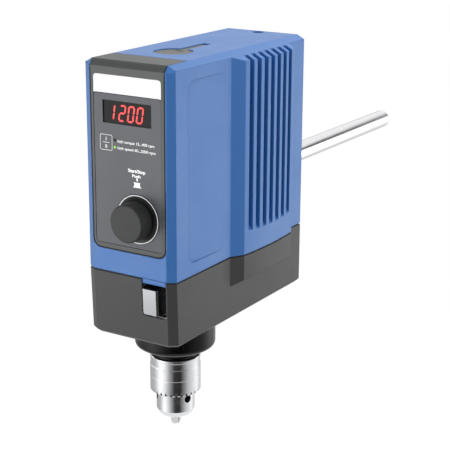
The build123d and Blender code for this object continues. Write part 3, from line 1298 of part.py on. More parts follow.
def jaw_sector(index, split):
    """The third of the chuck that belongs to one jaw, split away from its neighbours."""
    reach = SLEEVE_RADIUS * 2
    turn = jaw_angle(index)
    left = radians(turn - 60)
    right = radians(turn + 60)
    middle = radians(turn)
    apex = split / sin(radians(60))
    shift = (apex * sin(middle), -apex * cos(middle))
    corners = [shift]
    for angle in (left, middle, right):
        corners.append((shift[0] + reach * sin(angle), shift[1] - reach * cos(angle)))
    return along_z(outline(corners), 0, SPINDLE_Y, JAW_TIP - 5, CHUCK_TOP + 5)


def chuck_jaw(index):
    """One jaw: a ground pin cut to a third of the grip, with a flat tip and back teeth."""
    jaw = jaw_rod(index, JAW_RADIUS, -3, JAW_LENGTH + 3) & jaw_sector(index, JAW_SPLIT / 2)
    reach = SLEEVE_RADIUS
    return jaw - block(-reach, reach, SPINDLE_Y - reach, SPINDLE_Y + reach, JAW_TIP - 5, JAW_TIP)


def chuck_body():
    nose = LOWER_BOTTOM - CHUCK_NOSE_DROP
    low = LOWER_BOTTOM - CHUCK_BODY_DROP
    nut_top = NUT_BOTTOM + NUT_HEIGHT
    socket_end = CHUCK_TOP - CHUCK_SOCKET_DEPTH
    head = SLEEVE_BORE - RUNNING_FIT
    head_low = CHUCK_TOP - CHUCK_HEAD_HEIGHT
    body = turned([
        (SPINDLE_BORE_RADIUS, nose), (CHUCK_NOSE_RADIUS, nose),
        (CHUCK_SHOULDER_RADIUS, LOWER_BOTTOM - CHUCK_SHOULDER_DROP), (CHUCK_BODY_RADIUS, low),
        (CHUCK_BODY_RADIUS, NUT_BOTTOM - 0.3), (NUT_GROOVE_RADIUS, NUT_BOTTOM - 0.3),
        (NUT_GROOVE_RADIUS, nut_top + 0.3), (CHUCK_BODY_RADIUS, nut_top + 0.3),
        (CHUCK_BODY_RADIUS, head_low), (head, head_low), (head, CHUCK_TOP),
        (CHUCK_SOCKET_RADIUS + SEAT_FIT, CHUCK_TOP),
        (CHUCK_SOCKET_RADIUS + SEAT_FIT, socket_end), (SPINDLE_BORE_RADIUS, socket_end),
    ], 0, SPINDLE_Y)
    for i in range(JAW_COUNT):
        body -= jaw_rod(i, JAW_RADIUS + RUNNING_FIT, -5, JAW_LENGTH + JAW_TRAVEL + 6)
    for i in range(JAW_COUNT):
        turn = radians(KEY_HOLE_ANGLE + i * 360 / JAW_COUNT)
        start = CHUCK_BODY_RADIUS - KEY_HOLE_DEPTH
        origin = (start * sin(turn), SPINDLE_Y - start * cos(turn), LOWER_BOTTOM - KEY_HOLE_DROP)
        plane = Plane(origin=origin, z_dir=(sin(turn), -cos(turn), 0))
        body -= extrude(plane * Circle(KEY_HOLE_RADIUS), KEY_HOLE_DEPTH + 1)
    return body


def jaw_back_radius(z):
    """Radius of the line along the backs of the jaws at height z."""
    tilt = radians(JAW_ANGLE)
    return JAW_OFFSET + (z - JAW_TIP) * tan(tilt) + JAW_RADIUS / cos(tilt)


def chuck_nut():
    """Split ring nut, threaded inside on the backs of the jaws and pressed into the sleeve."""
    top = NUT_BOTTOM + NUT_HEIGHT
    nut = turned([
        (jaw_back_radius(NUT_BOTTOM) + RUNNING_FIT * 2, NUT_BOTTOM), (SLEEVE_BORE - SEAT_FIT, NUT_BOTTOM),
        (SLEEVE_BORE - SEAT_FIT, top), (jaw_back_radius(top) + RUNNING_FIT * 2, top),
    ], 0, SPINDLE_Y)
    half_split = NUT_SPLIT / 2
    slit = block(-SLEEVE_RADIUS, SLEEVE_RADIUS, SPINDLE_Y - half_split, SPINDLE_Y + half_split, NUT_BOTTOM, top)
    return solids_of(nut - slit)


def chuck_sleeve():
    """Outer sleeve with the ring of key teeth round its bevelled lower edge."""
    bore = CHUCK_BODY_RADIUS + RUNNING_FIT
    groove = LOWER_BOTTOM - SLEEVE_GROOVE_DROP
    waist = SLEEVE_RADIUS - WAIST_DEPTH
    waist_low = LOWER_BOTTOM - WAIST_BOTTOM_DROP
    waist_high = LOWER_BOTTOM - WAIST_TOP_DROP
    sleeve = turned([
        (bore, SLEEVE_BOTTOM), (SLEEVE_RADIUS - SLEEVE_BEVEL, SLEEVE_BOTTOM),
        (SLEEVE_RADIUS, SLEEVE_BOTTOM + SLEEVE_BEVEL),
        (SLEEVE_RADIUS, groove - SLEEVE_GROOVE), (SLEEVE_RADIUS - SLEEVE_GROOVE, groove),
        (SLEEVE_RADIUS, groove + SLEEVE_GROOVE), (SLEEVE_RADIUS, waist_low), (waist, waist_low + WAIST_DEPTH),
        (waist, waist_high - WAIST_DEPTH), (SLEEVE_RADIUS, waist_high), (SLEEVE_RADIUS, CHUCK_TOP - SLEEVE_EDGE),
        (SLEEVE_RADIUS - SLEEVE_EDGE, CHUCK_TOP), (SLEEVE_BORE, CHUCK_TOP), (SLEEVE_BORE, NUT_BOTTOM),
        (bore, NUT_BOTTOM),
    ], 0, SPINDLE_Y)
    pitch = SLEEVE_RADIUS * radians(360 / KEY_TEETH)
    half = pitch * KEY_TOOTH_SHARE / 2
    notch_face = outline([(-half * 1.3, -1), (half * 1.3, -1), (0, KEY_TOOTH_HEIGHT)])
    notch_start = (0, -SLEEVE_RADIUS + KEY_TOOTH_LENGTH - 1, SLEEVE_BOTTOM)
    plane = Plane(origin=notch_start, x_dir=(1, 0, 0), z_dir=(0, -1, 0))
    notch = extrude(plane * notch_face, KEY_TOOTH_LENGTH)
    notches = [Rot(0, 0, i * 360 / KEY_TEETH) * notch for i in range(KEY_TEETH)]
    return sleeve - Pos(0, SPINDLE_Y, 0) * Compound(notches)


# ---- rear sockets -----------------------------------------------------------------------------------
def inlet_z():
    return SEAM_Z + INLET_HEIGHT_ABOVE_SEAM


def inlet_body(grow):
    shape = RectangleRounded(INLET_WIDTH + 2 * grow, INLET_HEIGHT + 2 * grow, INLET_CORNER)
    return along_y(shape, 0, inlet_z(), -INLET_DEPTH, 0)


def power_inlet():
    flange = RectangleRounded(INLET_FLANGE_WIDTH, INLET_FLANGE_HEIGHT, INLET_CORNER)
    inlet = inlet_body(0) + along_y(flange, 0, inlet_z(), 0, INLET_FLANGE)
    mouth = RectangleRounded(SOCKET_WIDTH, SOCKET_HEIGHT, INLET_CORNER)
    floor = INLET_FLANGE - SOCKET_DEPTH
    inlet -= along_y(mouth, 0, inlet_z(), floor, INLET_FLANGE)
    for x, rise in ((-INLET_PIN_SPACING, -1), (0, 1), (INLET_PIN_SPACING, -1)):
        z = inlet_z() + rise * INLET_PIN_WIDTH
        pin = Rectangle(INLET_PIN_WIDTH, INLET_PIN_HEIGHT)
        inlet += along_y(pin, x, z, floor - 1, floor + INLET_PIN_LENGTH)
    for x in spread(2, 0, INLET_SCREW_SPACING):
        inlet -= along_y(Circle(INLET_SCREW_RADIUS + SCREW_CLEARANCE), x, inlet_z(), 0, INLET_FLANGE)
    return inlet


def inlet_screws():
    screws = []
    for x in spread(2, 0, INLET_SCREW_SPACING):
        shank = along_y(Circle(INLET_SCREW_RADIUS), x, inlet_z(), -WALL - 2, INLET_FLANGE)
        head_top = INLET_FLANGE + INLET_SCREW_RADIUS
        head = along_y(Circle(INLET_SCREW_RADIUS * 1.8), x, inlet_z(), INLET_FLANGE, head_top)
        screws.append(shank + head)
    return solids_of(*screws)


def switch_z():
    return SEAM_Z + SWITCH_HEIGHT_ABOVE_SEAM


def switch_body(grow):
    return along_y(Rectangle(SWITCH_WIDTH + 2 * grow, SWITCH_HEIGHT + 2 * grow), 0, switch_z(), -SWITCH_DEPTH, 0)


def switch_frame():
    extra = 2 * SWITCH_FLANGE_EXTRA
    flange = RectangleRounded(SWITCH_WIDTH + extra, SWITCH_HEIGHT + extra, SWITCH_WALL)
    frame = switch_body(0) + along_y(flange, 0, switch_z(), 0, SWITCH_FLANGE)
    inner = Rectangle(SWITCH_WIDTH - 2 * SWITCH_WALL, SWITCH_HEIGHT - 2 * SWITCH_WALL)
    frame -= along_y(inner, 0, switch_z(), -SWITCH_DEPTH + SWITCH_WALL, SWITCH_FLANGE)
    return frame


def rocker_face():
    """Side view of the rocker: a barrel with two pressed faces, drawn in Y and Z."""
    half = SWITCH_HEIGHT / 2 - SWITCH_WALL - ROCKER_GAP
    rise = half * tan(radians(ROCKER_TILT))
    front = SWITCH_FLANGE + 1
    deep = -half * ROCKER_DEPTH
    upper = [(front, 0), (front + rise, half), (front - ROCKER_EDGE, half), (deep, half * ROCKER_ROOT)]
    return outline([(deep, -half * ROCKER_ROOT), (front - ROCKER_EDGE, -half), (front + rise, -half)] + upper)


def power_rocker():
    """The rocker lies tipped to its off side, its upper half standing out."""
    half = SWITCH_WIDTH / 2 - SWITCH_WALL - ROCKER_GAP
    rocker = Pos(0, 0, switch_z()) * Rot(-ROCKER_TILT, 0, 0) * along_x(rocker_face(), 0, 0, -half, half)
    return rocker - rocker_pin_rod(RUNNING_FIT)


def rocker_pin_rod(grow):
    half = SWITCH_WIDTH / 2 - SWITCH_WALL
    return along_x(Circle(1 + grow), 0, switch_z(), -half, half)


def rocker_pin():
    return rocker_pin_rod(0)


# ---- housing screws --------------------------------------------------------------------------------
def housing_screws():
    screws = []
    low = LOWER_BOTTOM + HEAD_SINK
    for x, y in housing_posts():
        head = rod(SCREW_HEAD_RADIUS, x, y, low, low + SCREW_HEAD_HEIGHT)
        hexagon = RegularPolygon(SCREW_HEAD_RADIUS * HEX_SHARE, 6)
        socket = along_z(hexagon, x, y, low, low + SCREW_HEAD_HEIGHT * 0.6)
        shank = rod(HOUSING_SCREW_RADIUS, x, y, low + SCREW_HEAD_HEIGHT * 0.8, SEAM_Z + HOUSING_SCREW_BITE)
        screws.append(head + shank - socket)
    return solids_of(*screws)


NODES = {
    "upper_housing": upper_housing,
    "lower_housing": lower_housing,
    "seam_gasket": seam_gasket,
    "housing_screws": housing_screws,
    "front_bezel": front_bezel,
    "panel_membrane": panel_membrane,
    "header_strip": header_strip,
    "display_window": display_window,
    "display_module": display_module,
    "range_lamp_low": lambda: range_lamp(0),
    "range_lamp_high": lambda: range_lamp(1),
    "knob_ring": knob_ring,
    "encoder_housing": encoder_housing,
    "encoder_wheel": encoder_wheel,
    "encoder_shaft": encoder_shaft,
    "control_knob": control_knob,
    "control_board": control_board,
    "drive_board": drive_board,
    "board_screws": board_screws,
    "shift_tray": shift_tray,
    "shift_button": shift_button,
    "shift_plate": shift_plate,
    "shaft_cover": shaft_cover,
    "cover_pin": lambda: cover_pin_rod(0),
    "guide_tube": guide_tube,
    "support_arm": support_arm,
    "arm_bracket": arm_bracket,
    "arm_screws": arm_screws,
    "drive_plate": drive_plate,
    "plate_screws": plate_screws,
    "motor_case": motor_case,
    "motor_stator": motor_stator,
    "motor_screws": motor_screws,
    "motor_rotor": motor_rotor,
    "drive_pinion": drive_pinion,
    "cooling_fan": cooling_fan,
    "idler_shaft": idler_shaft,
    "idler_gear": idler_gear,
    "idler_pinion": idler_pinion,
    "idler_bearings": idler_bearings,
    "hollow_spindle": hollow_spindle,
    "spindle_gear": spindle_gear,
    "spindle_bearing_upper": lambda: spindle_bearing(PLATE_BOTTOM + BEARING_LIP),
    "spindle_bearing_lower": lambda: spindle_bearing(SPINDLE_BEARING_BOTTOM),
    "spindle_collar": spindle_collar,
    "collar_screws": collar_screws,
    "spindle_seal": spindle_seal,
    "lock_ring": lock_ring,
    "chuck_body": chuck_body,
    "chuck_sleeve": chuck_sleeve,
    "chuck_nut": chuck_nut,
    "chuck_jaw_1": lambda: chuck_jaw(0),
    "chuck_jaw_2": lambda: chuck_jaw(1),
    "chuck_jaw_3": lambda: chuck_jaw(2),
    "power_inlet": power_inlet,
    "inlet_screws": inlet_screws,
    "switch_frame": switch_frame,
    "power_rocker": power_rocker,
    "rocker_pin": rocker_pin,
}

for name, make in NODES.items():
    export_step(make(), f"parts/{name}.step")
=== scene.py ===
"""Looks of a bench-top overhead stirrer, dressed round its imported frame.

Lengths are metres, or millimetres where a comment, a name or the factor MM says so.
"""
import json
import math

import bpy
from mathutils import Matrix, Vector


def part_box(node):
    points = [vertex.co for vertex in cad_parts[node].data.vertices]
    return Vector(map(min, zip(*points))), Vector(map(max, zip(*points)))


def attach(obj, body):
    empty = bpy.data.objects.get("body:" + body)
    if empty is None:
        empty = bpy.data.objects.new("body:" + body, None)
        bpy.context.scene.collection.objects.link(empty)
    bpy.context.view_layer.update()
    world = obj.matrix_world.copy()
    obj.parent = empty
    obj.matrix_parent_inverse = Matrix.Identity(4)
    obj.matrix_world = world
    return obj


MM = 0.001

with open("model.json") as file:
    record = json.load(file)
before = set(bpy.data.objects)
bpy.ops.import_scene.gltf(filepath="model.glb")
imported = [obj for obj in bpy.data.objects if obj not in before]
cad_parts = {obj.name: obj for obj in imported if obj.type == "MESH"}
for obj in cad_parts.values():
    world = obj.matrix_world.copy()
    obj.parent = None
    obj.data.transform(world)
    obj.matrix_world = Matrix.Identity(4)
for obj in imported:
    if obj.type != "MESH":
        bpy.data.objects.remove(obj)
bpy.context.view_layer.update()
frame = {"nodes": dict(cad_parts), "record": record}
nodes = frame["nodes"]

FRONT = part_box("upper_housing")[0][1]
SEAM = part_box("seam_gasket")[1][2]
SHEET_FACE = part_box("panel_membrane")[0][1]
WINDOW_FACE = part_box("display_window")[0][1]


# ---- colours and shader groups ------------------------------------------------------------------
def paint(red, green, blue):
    """A colour given as it looks on a screen, 0 to 255, in the linear values that shaders take."""
    values = [c / 255 for c in (red, green, blue)]
    return [c / 12.92 if c <= 0.04045 else ((c + 0.055) / 1.055) ** 2.4 for c in values] + [1.0]


def feed(tree, socket, value):
    """Links a result to a socket, or puts a plain value on it."""
    if isinstance(value, bpy.types.NodeSocket):
        tree.links.new(value, socket)
    else:
        socket.default_value = value


def shader_group(name, numbers, results):
    """An empty shader group with a Vector, named numbers and named results."""
    tree = bpy.data.node_groups.new(name, "ShaderNodeTree")
    tree.interface.new_socket("Vector", in_out="INPUT", socket_type="NodeSocketVector")
    for label, value in numbers.items():
        socket = tree.interface.new_socket(label, in_out="INPUT", socket_type="NodeSocketFloat")
        socket.default_value = value
    for label in results:
        tree.interface.new_socket(label, in_out="OUTPUT", socket_type="NodeSocketFloat")
    return tree, tree.nodes.new("NodeGroupInput"), tree.nodes.new("NodeGroupOutput")


def maths(tree, operation, *values):
    node = tree.nodes.new("ShaderNodeMath")
    node.operation = operation
    for socket, value in zip(node.inputs, values):
        feed(tree, socket, value)
    return node.outputs[0]


def noise(tree, vector, scale, detail, rough):
    node = tree.nodes.new("ShaderNodeTexNoise")
    tree.links.new(vector, node.inputs["Vector"])
    for label, value in (("Scale", scale), ("Detail", detail), ("Roughness", rough)):
        feed(tree, node.inputs[label], value)
    return node.outputs["Fac"]


def per_metre(tree, length_mm):
    """How often a length in mm goes into a metre: the scale of a noise with that spacing."""
    return maths(tree, "DIVIDE", 1000.0, length_mm)


def make_grain():
    """Fine pebbled grain of moulded and coated surfaces, with a slow drift for the gloss."""
    tree, given, result = shader_group("moulded_grain", {"Size mm": 0.5}, ("Height", "Drift"))
    fine = noise(tree, given.outputs["Vector"], per_metre(tree, given.outputs["Size mm"]), 3.0, 0.55)
    drift = noise(tree, given.outputs["Vector"], 38.0, 3.0, 0.6)
    tree.links.new(fine, result.inputs["Height"])
    tree.links.new(drift, result.inputs["Drift"])
    return tree


def make_lines(name, factors, smear_scale):
    """Fine lines left by working a metal, with faint handling marks; they run along small factors."""
    tree, given, result = shader_group(name, {"Pitch mm": 0.2}, ("Height", "Smear"))
    drawn_out = tree.nodes.new("ShaderNodeVectorMath")
    drawn_out.operation = "MULTIPLY"
    tree.links.new(given.outputs["Vector"], drawn_out.inputs[0])
    drawn_out.inputs[1].default_value = factors
    lines = noise(tree, drawn_out.outputs[0], per_metre(tree, given.outputs["Pitch mm"]), 2.0, 0.6)
    smear = noise(tree, given.outputs["Vector"], smear_scale, 4.0, 0.65)
    tree.links.new(lines, result.inputs["Height"])
    tree.links.new(smear, result.inputs["Smear"])
    return tree


def make_edge_lightening():
    """Mask of the outer edges, broken up by a noise, where a coating turns lighter."""
    sharpness = 8.0
    tree, given, result = shader_group("lighter_edge_mask", {"Width mm": 0.4, "Amount": 0.5}, ("Mask",))
    bevel = tree.nodes.new("ShaderNodeBevel")
    bevel.samples = 4
    tree.links.new(maths(tree, "MULTIPLY", given.outputs["Width mm"], MM), bevel.inputs["Radius"])
    face = tree.nodes.new("ShaderNodeNewGeometry")
    dot = tree.nodes.new("ShaderNodeVectorMath")
    dot.operation = "DOT_PRODUCT"
    tree.links.new(bevel.outputs[0], dot.inputs[0])
    tree.links.new(face.outputs["Normal"], dot.inputs[1])
    edge = maths(tree, "SUBTRACT", 1.0, dot.outputs["Value"])
    patchy = noise(tree, given.outputs["Vector"], 320.0, 3.0, 0.6)
    mask = maths(tree, "MULTIPLY", maths(tree, "MULTIPLY", edge, sharpness), patchy)
    mask = maths(tree, "MINIMUM", maths(tree, "MULTIPLY", mask, given.outputs["Amount"]), 1.0)
    tree.links.new(mask, result.inputs["Mask"])
    return tree


def make_crevice_shade():
    """Mask of painted shade in the notches and hollows of a metal piece, where it looks dark."""
    open_enough, gain, darkest = 0.72, 2.2, 0.93
    tree, given, result = shader_group("painted_crevice_shade", {"Reach mm": 1.5}, ("Mask",))
    hollow = tree.nodes.new("ShaderNodeAmbientOcclusion")
    hollow.samples = 8
    tree.links.new(maths(tree, "MULTIPLY", given.outputs["Reach mm"], MM), hollow.inputs["Distance"])
    depth = maths(tree, "SUBTRACT", open_enough, hollow.outputs["AO"])
    # a noise makes the painted shade uneven
    shade_breakup = noise(tree, given.outputs["Vector"], 500.0, 2.0, 0.5)
    mask = maths(tree, "MULTIPLY", maths(tree, "MAXIMUM", depth, 0.0), maths(tree, "ADD", shade_breakup, gain))
    tree.links.new(maths(tree, "MINIMUM", mask, darkest), result.inputs["Mask"])
    return tree


# near black that is painted into the crevices of metal as shade
PAINTED_SHADE_BLACK = paint(24, 24, 25)
GRAIN = make_grain()
TURNING = make_lines("turned_lines", (0.02, 0.02, 1.0), 60.0)
DRAWING = make_lines("drawn_lines", (1.0, 0.02, 1.0), 45.0)
EDGE_LIGHTENING = make_edge_lightening()
CREVICE_SHADE = make_crevice_shade()


# ---- materials ----------------------------------------------------------------------------------
class Finish:
    """One material, with its Principled shader and the object's own coordinates."""

    def __init__(self, name, colour, roughness, metallic=0.0, **plain):
        self.material = bpy.data.materials.new(name)
        self.material.use_nodes = True
        self.tree = self.material.node_tree
        self.shader = self.tree.nodes["Principled BSDF"]
        self.shader.inputs["Base Color"].default_value = colour
        self.shader.inputs["Roughness"].default_value = roughness
        self.shader.inputs["Metallic"].default_value = metallic
        for label, value in plain.items():
            self.shader.inputs[label.replace("_", " ")].default_value = value
        self.place = self.tree.nodes.new("ShaderNodeTexCoord").outputs["Object"]

    def effect(self, group, **numbers):
        node = self.tree.nodes.new("ShaderNodeGroup")
        node.node_tree = group
        self.tree.links.new(self.place, node.inputs["Vector"])
        for label, value in numbers.items():
            node.inputs[label.replace("_", " ")].default_value = value
        return node.outputs

    def vary_roughness(self, value, low, high):
        """Spreads the middle of a noise over a range of roughness."""
        spread = self.tree.nodes.new("ShaderNodeMapRange")
        spread.inputs["From Min"].default_value = 0.3
        spread.inputs["From Max"].default_value = 0.7
        spread.inputs["To Min"].default_value = low
        spread.inputs["To Max"].default_value = high
        self.tree.links.new(value, spread.inputs["Value"])
        self.tree.links.new(spread.outputs[0], self.shader.inputs["Roughness"])

    def blend(self, mask, under, over, label="Base Color"):
        """Lays one colour over another by a mask, and gives the shader the result."""
        mix = self.tree.nodes.new("ShaderNodeMix")
        mix.data_type = "RGBA"
        self.tree.links.new(mask, mix.inputs["Factor"])
        feed(self.tree, mix.inputs[6], under)
        mix.inputs[7].default_value = over
        self.tree.links.new(mix.outputs[2], self.shader.inputs[label])
        return mix.outputs[2]

    def relief(self, height, depth_mm, soft_edge_mm=0.0):
        bump = self.tree.nodes.new("ShaderNodeBump")
        bump.inputs["Distance"].default_value = depth_mm * MM
        bump.inputs["Strength"].default_value = 1.0
        self.tree.links.new(height, bump.inputs["Height"])
        if soft_edge_mm:
            bevel = self.tree.nodes.new("ShaderNodeBevel")
            bevel.samples = 6
            bevel.inputs["Radius"].default_value = soft_edge_mm * MM
            self.tree.links.new(bevel.outputs[0], bump.inputs["Normal"])
        self.tree.links.new(bump.outputs[0], self.shader.inputs["Normal"])


def coated(name, colour, roughness, grain_mm, depth_mm, edge_mm, edge_tone=None, amount=0.0, **plain):
    """Paint, powder coat or moulded plastic: grain, uneven gloss, soft edges and lighter corners."""
    finish = Finish(name, colour, roughness, **plain)
    grain = finish.effect(GRAIN, Size_mm=grain_mm)
    finish.vary_roughness(grain["Drift"], roughness - 0.02, roughness + 0.03)
    shade = [c * 0.96 for c in colour[:3]] + [1.0]
    tone = finish.blend(grain["Drift"], colour, shade)
    if edge_tone:
        finish.blend(finish.effect(EDGE_LIGHTENING, Width_mm=0.35, Amount=amount)["Mask"], tone, edge_tone)
    finish.relief(grain["Height"], depth_mm, edge_mm)
    return finish.material


def metal(name, colour, roughness, lines, pitch_mm, depth_mm, shade_reach_mm=0.0):
    """Bright metal with fine working lines, faint smears and painted shade in its crevices."""
    finish = Finish(name, colour, roughness, metallic=1.0)
    marks = finish.effect(lines, Pitch_mm=pitch_mm)
    finish.vary_roughness(marks["Smear"], max(roughness - 0.05, 0.02), roughness + 0.07)
    # the crevices get painted shade, darker where they are more closed in
    if shade_reach_mm:
        finish.blend(finish.effect(CREVICE_SHADE, Reach_mm=shade_reach_mm)["Mask"], colour, PAINTED_SHADE_BLACK)
    finish.relief(marks["Height"], depth_mm, 0.25)
    return finish.material


def lit(name, colour, strength, core):
    """A lamp or digit that glows, paler where it is brightest."""
    finish = Finish(name, colour, 0.35)
    grain = finish.effect(GRAIN, Size_mm=0.9)
    finish.blend(grain["Height"], colour, core, "Emission Color")
    finish.shader.inputs["Emission Strength"].default_value = strength
    return finish.material


# coated: name, colour, roughness, size and depth of the grain and softness of the edges in mm, then
# the colour and the amount of the lighter edges. metal: name, colour, roughness, lines, their pitch and
# depth in mm.
WHITE_LIGHT = paint(255, 255, 255)
materials = {
    "blue_shell": coated(
        "blue_lacquer", paint(43, 109, 182), 0.40, 0.7, 0.006, 1.3, paint(96, 148, 206), 0.25,
    ),
    "dark_casting": coated(
        "dark_coat", paint(60, 60, 60), 0.44, 0.45, 0.012, 1.0, paint(84, 84, 84), 0.2,
        Specular_IOR_Level=0.26,
    ),
    "black_rubber": coated("black_seal", paint(14, 14, 15), 0.7, 0.3, 0.01, 0.0),
    "bezel_plastic": coated(
        "bezel_plastic", paint(60, 62, 62), 0.42, 0.4, 0.008, 0.5, Specular_IOR_Level=0.36,
    ),
    "grey_sheet": coated(
        "panel_film", paint(84, 86, 91), 0.38, 0.25, 0.003, 0.15, Specular_IOR_Level=0.28,
    ),
    # white strips with a faint glow: painted light that makes them brighter than their lamps do
    "white_sheet": coated(
        "strip_film_painted_glow", paint(252, 252, 253), 0.36, 0.25, 0.002, 0.15,
        Emission_Color=WHITE_LIGHT, Emission_Strength=0.12,
    ),
    "dark_window": coated(
        "window_glaze", paint(11, 10, 11), 0.12, 2.0, 0.001, 0.2, Specular_IOR_Level=0.07,
    ),
    "display_block": coated("display_block", paint(30, 22, 22), 0.3, 0.5, 0.004, 0.2),
    "lamp_dark": coated("lamp_dark", paint(6, 6, 6), 0.3, 0.5, 0.002, 0.15, Specular_IOR_Level=0.1),
    "lamp_green": lit("lamp_green", paint(84, 160, 20), 0.6, paint(160, 220, 76)),
    "ring_plastic": coated("knob_seat_plastic", paint(34, 35, 36), 0.4, 0.4, 0.006, 0.3),
    "knob_plastic": coated(
        "knob_plastic", paint(40, 41, 41), 0.46, 0.45, 0.01, 0.7, Specular_IOR_Level=0.22,
    ),
    "cover_plastic": coated("cover_plastic", paint(88, 86, 80), 0.5, 0.5, 0.012, 0.3),
    "collar_black": coated(
        "collar_black", paint(7, 7, 8), 0.16, 0.5, 0.002, 0.6, Specular_IOR_Level=0.2,
    ),
    "black_plastic": coated("black_plastic", paint(26, 26, 27), 0.4, 0.45, 0.01, 0.4),
    "grey_plastic": coated("grey_plastic", paint(120, 120, 118), 0.5, 0.5, 0.01, 0.3),
    "circuit_board": coated("circuit_board", paint(30, 96, 52), 0.35, 0.8, 0.01, 0.0),
    "bright_chrome": metal("bright_chrome", paint(116, 117, 119), 0.24, DRAWING, 0.3, 0.0006),
    "polished_steel": metal("polished_steel", paint(230, 230, 232), 0.13, DRAWING, 0.16, 0.0006),
    # the chuck and its jaws get painted shade in their notches and hollows, reaching this far in mm
    "chuck_steel": metal(
        "chuck_steel", paint(218, 219, 221), 0.12, TURNING, 0.16, 0.0005, shade_reach_mm=6.0,
    ),
    "jaw_steel": metal("jaw_steel", paint(200, 200, 202), 0.2, DRAWING, 0.14, 0.001, shade_reach_mm=1.2),
    "bearing_steel": metal("bearing_steel", paint(196, 197, 200), 0.15, TURNING, 0.15, 0.001),
    "gear_steel": metal("gear_steel", paint(150, 150, 152), 0.3, TURNING, 0.2, 0.002),
    "motor_steel": metal("motor_steel", paint(140, 142, 145), 0.32, TURNING, 0.2, 0.002),
    "motor_core": coated("motor_core", paint(84, 78, 74), 0.5, 0.6, 0.01, 0.0),
    "cast_aluminium": metal("cast_aluminium", paint(170, 171, 174), 0.42, TURNING, 0.7, 0.006),
    "encoder_metal": metal("encoder_metal", paint(170, 171, 174), 0.28, TURNING, 0.2, 0.001),
    "steel_screws": metal("steel_screws", paint(176, 177, 180), 0.26, TURNING, 0.15, 0.001),
    "black_screws": metal("black_screws", paint(44, 44, 46), 0.34, TURNING, 0.15, 0.001),
}
# black for printed lines and for the painted shade in the key notches
LINE_AND_SHADE_BLACK = coated("line_and_shade_black", paint(8, 8, 9), 0.6, 0.3, 0.002, 0.0, Specular_IOR_Level=0.2)
# white print with a faint glow: painted light that makes it brighter than its lamps do
GLOWING_PRINT_WHITE = coated(
    "print_white_painted_glow", paint(246, 247, 248), 0.45, 0.2, 0.001, 0.0,
    Emission_Color=WHITE_LIGHT, Emission_Strength=0.3,
)
DIGIT_RED = lit("digit_red", paint(204, 2, 14), 1.0, paint(255, 66, 54))

for subpart in frame["record"]["subparts"]:
    node = nodes[subpart["node"]]
    for place in node.material_slots:
        place.material = materials[subpart["material_slot"]]


# ---- modelling helpers --------------------------------------------------------------------------
UPRIGHT = Matrix.Rotation(math.radians(90), 4, "X")
PRINT_PROUD = 0.04 * MM
CAPITAL_SHARE = 0.69         # height of a capital as a share of the size of its lettering


def alone():
    bpy.ops.object.select_all(action="DESELECT")


def settle(piece, name, material, body):
    """Finished piece: its place goes into its mesh, and it gets a name, a finish and a body."""
    alone()
    piece.select_set(True)
    bpy.context.view_layer.objects.active = piece
    if piece.type != "MESH":
        bpy.ops.object.convert(target="MESH")
        piece = bpy.context.object
    bpy.ops.object.transform_apply(location=True, rotation=True, scale=True)
    piece.name = name
    piece.data.materials.clear()
    piece.data.materials.append(material)
    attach(piece, body)


def extruded(corners, travel):
    """A closed solid: the flat face with these corners, drawn out by travel."""
    alone()
    bpy.ops.mesh.primitive_circle_add(vertices=len(corners), radius=1, fill_type="NGON")
    solid = bpy.context.object
    for vertex, corner in zip(solid.data.vertices, corners):
        vertex.co = corner
    bpy.ops.object.mode_set(mode="EDIT")
    bpy.ops.mesh.select_all(action="SELECT")
    bpy.ops.mesh.extrude_region_move(TRANSFORM_OT_translate={"value": travel})
    bpy.ops.mesh.select_all(action="SELECT")
    bpy.ops.mesh.normals_make_consistent(inside=False)
    bpy.ops.object.mode_set(mode="OBJECT")
    return solid


def on_panel(x, height, face=SHEET_FACE):
    """Where a print stands upright on the panel: x across and height above the seam in mm."""
    return Matrix.Translation((x * MM, face, SEAM + height * MM)) @ UPRIGHT


def printed_words(name, words, x, height, size, align="LEFT", width=None, bold=0.12):
    """Flat lettering printed on the panel; size is the height of its capitals in mm."""
    alone()
    bpy.ops.object.text_add()
    text = bpy.context.object
    text.data.body = words
    text.data.size = size * MM / CAPITAL_SHARE
    text.data.extrude = PRINT_PROUD
    text.data.offset = bold * MM
    text.data.align_x = align
    text.data.resolution_u = 4
    bpy.context.view_layer.update()
    stretch = width * MM / text.dimensions.x if width else 1.0
    text.matrix_world = on_panel(x, height) @ Matrix.Diagonal((stretch, 1, 1, 1))
    settle(text, name, GLOWING_PRINT_WHITE, "housing")


def printed_line(name, points, width, closed=False, face=SHEET_FACE, material=GLOWING_PRINT_WHITE):
    """A printed line through points given in mm across and above the seam."""
    curve = bpy.data.curves.new(name, "CURVE")
    curve.dimensions = "3D"
    curve.bevel_depth = width * MM / 2
    curve.bevel_resolution = 1
    spline = curve.splines.new("POLY")
    spline.points.add(len(points) - 1)
    for point, (x, height) in zip(spline.points, points):
        point.co = (x * MM, height * MM, 0, 1)
    spline.use_cyclic_u = closed
    line = bpy.data.objects.new(name, curve)
    bpy.context.collection.objects.link(line)
    flat = Matrix.Diagonal((1, 1, 2 * PRINT_PROUD / (width * MM), 1))
    line.matrix_world = on_panel(0, 0, face) @ flat
    settle(line, name, material, "housing")


def printed_shape(name, points, material=GLOWING_PRINT_WHITE, face=SHEET_FACE):
    """A flat filled shape through corners given in mm across and above the seam."""
    corners = [(x * MM, height * MM, 0) for x, height in points]
    shape = extruded(corners, (0, 0, PRINT_PROUD * 2))
    shape.matrix_world = on_panel(0, 0, face)
    settle(shape, name, material, "housing")


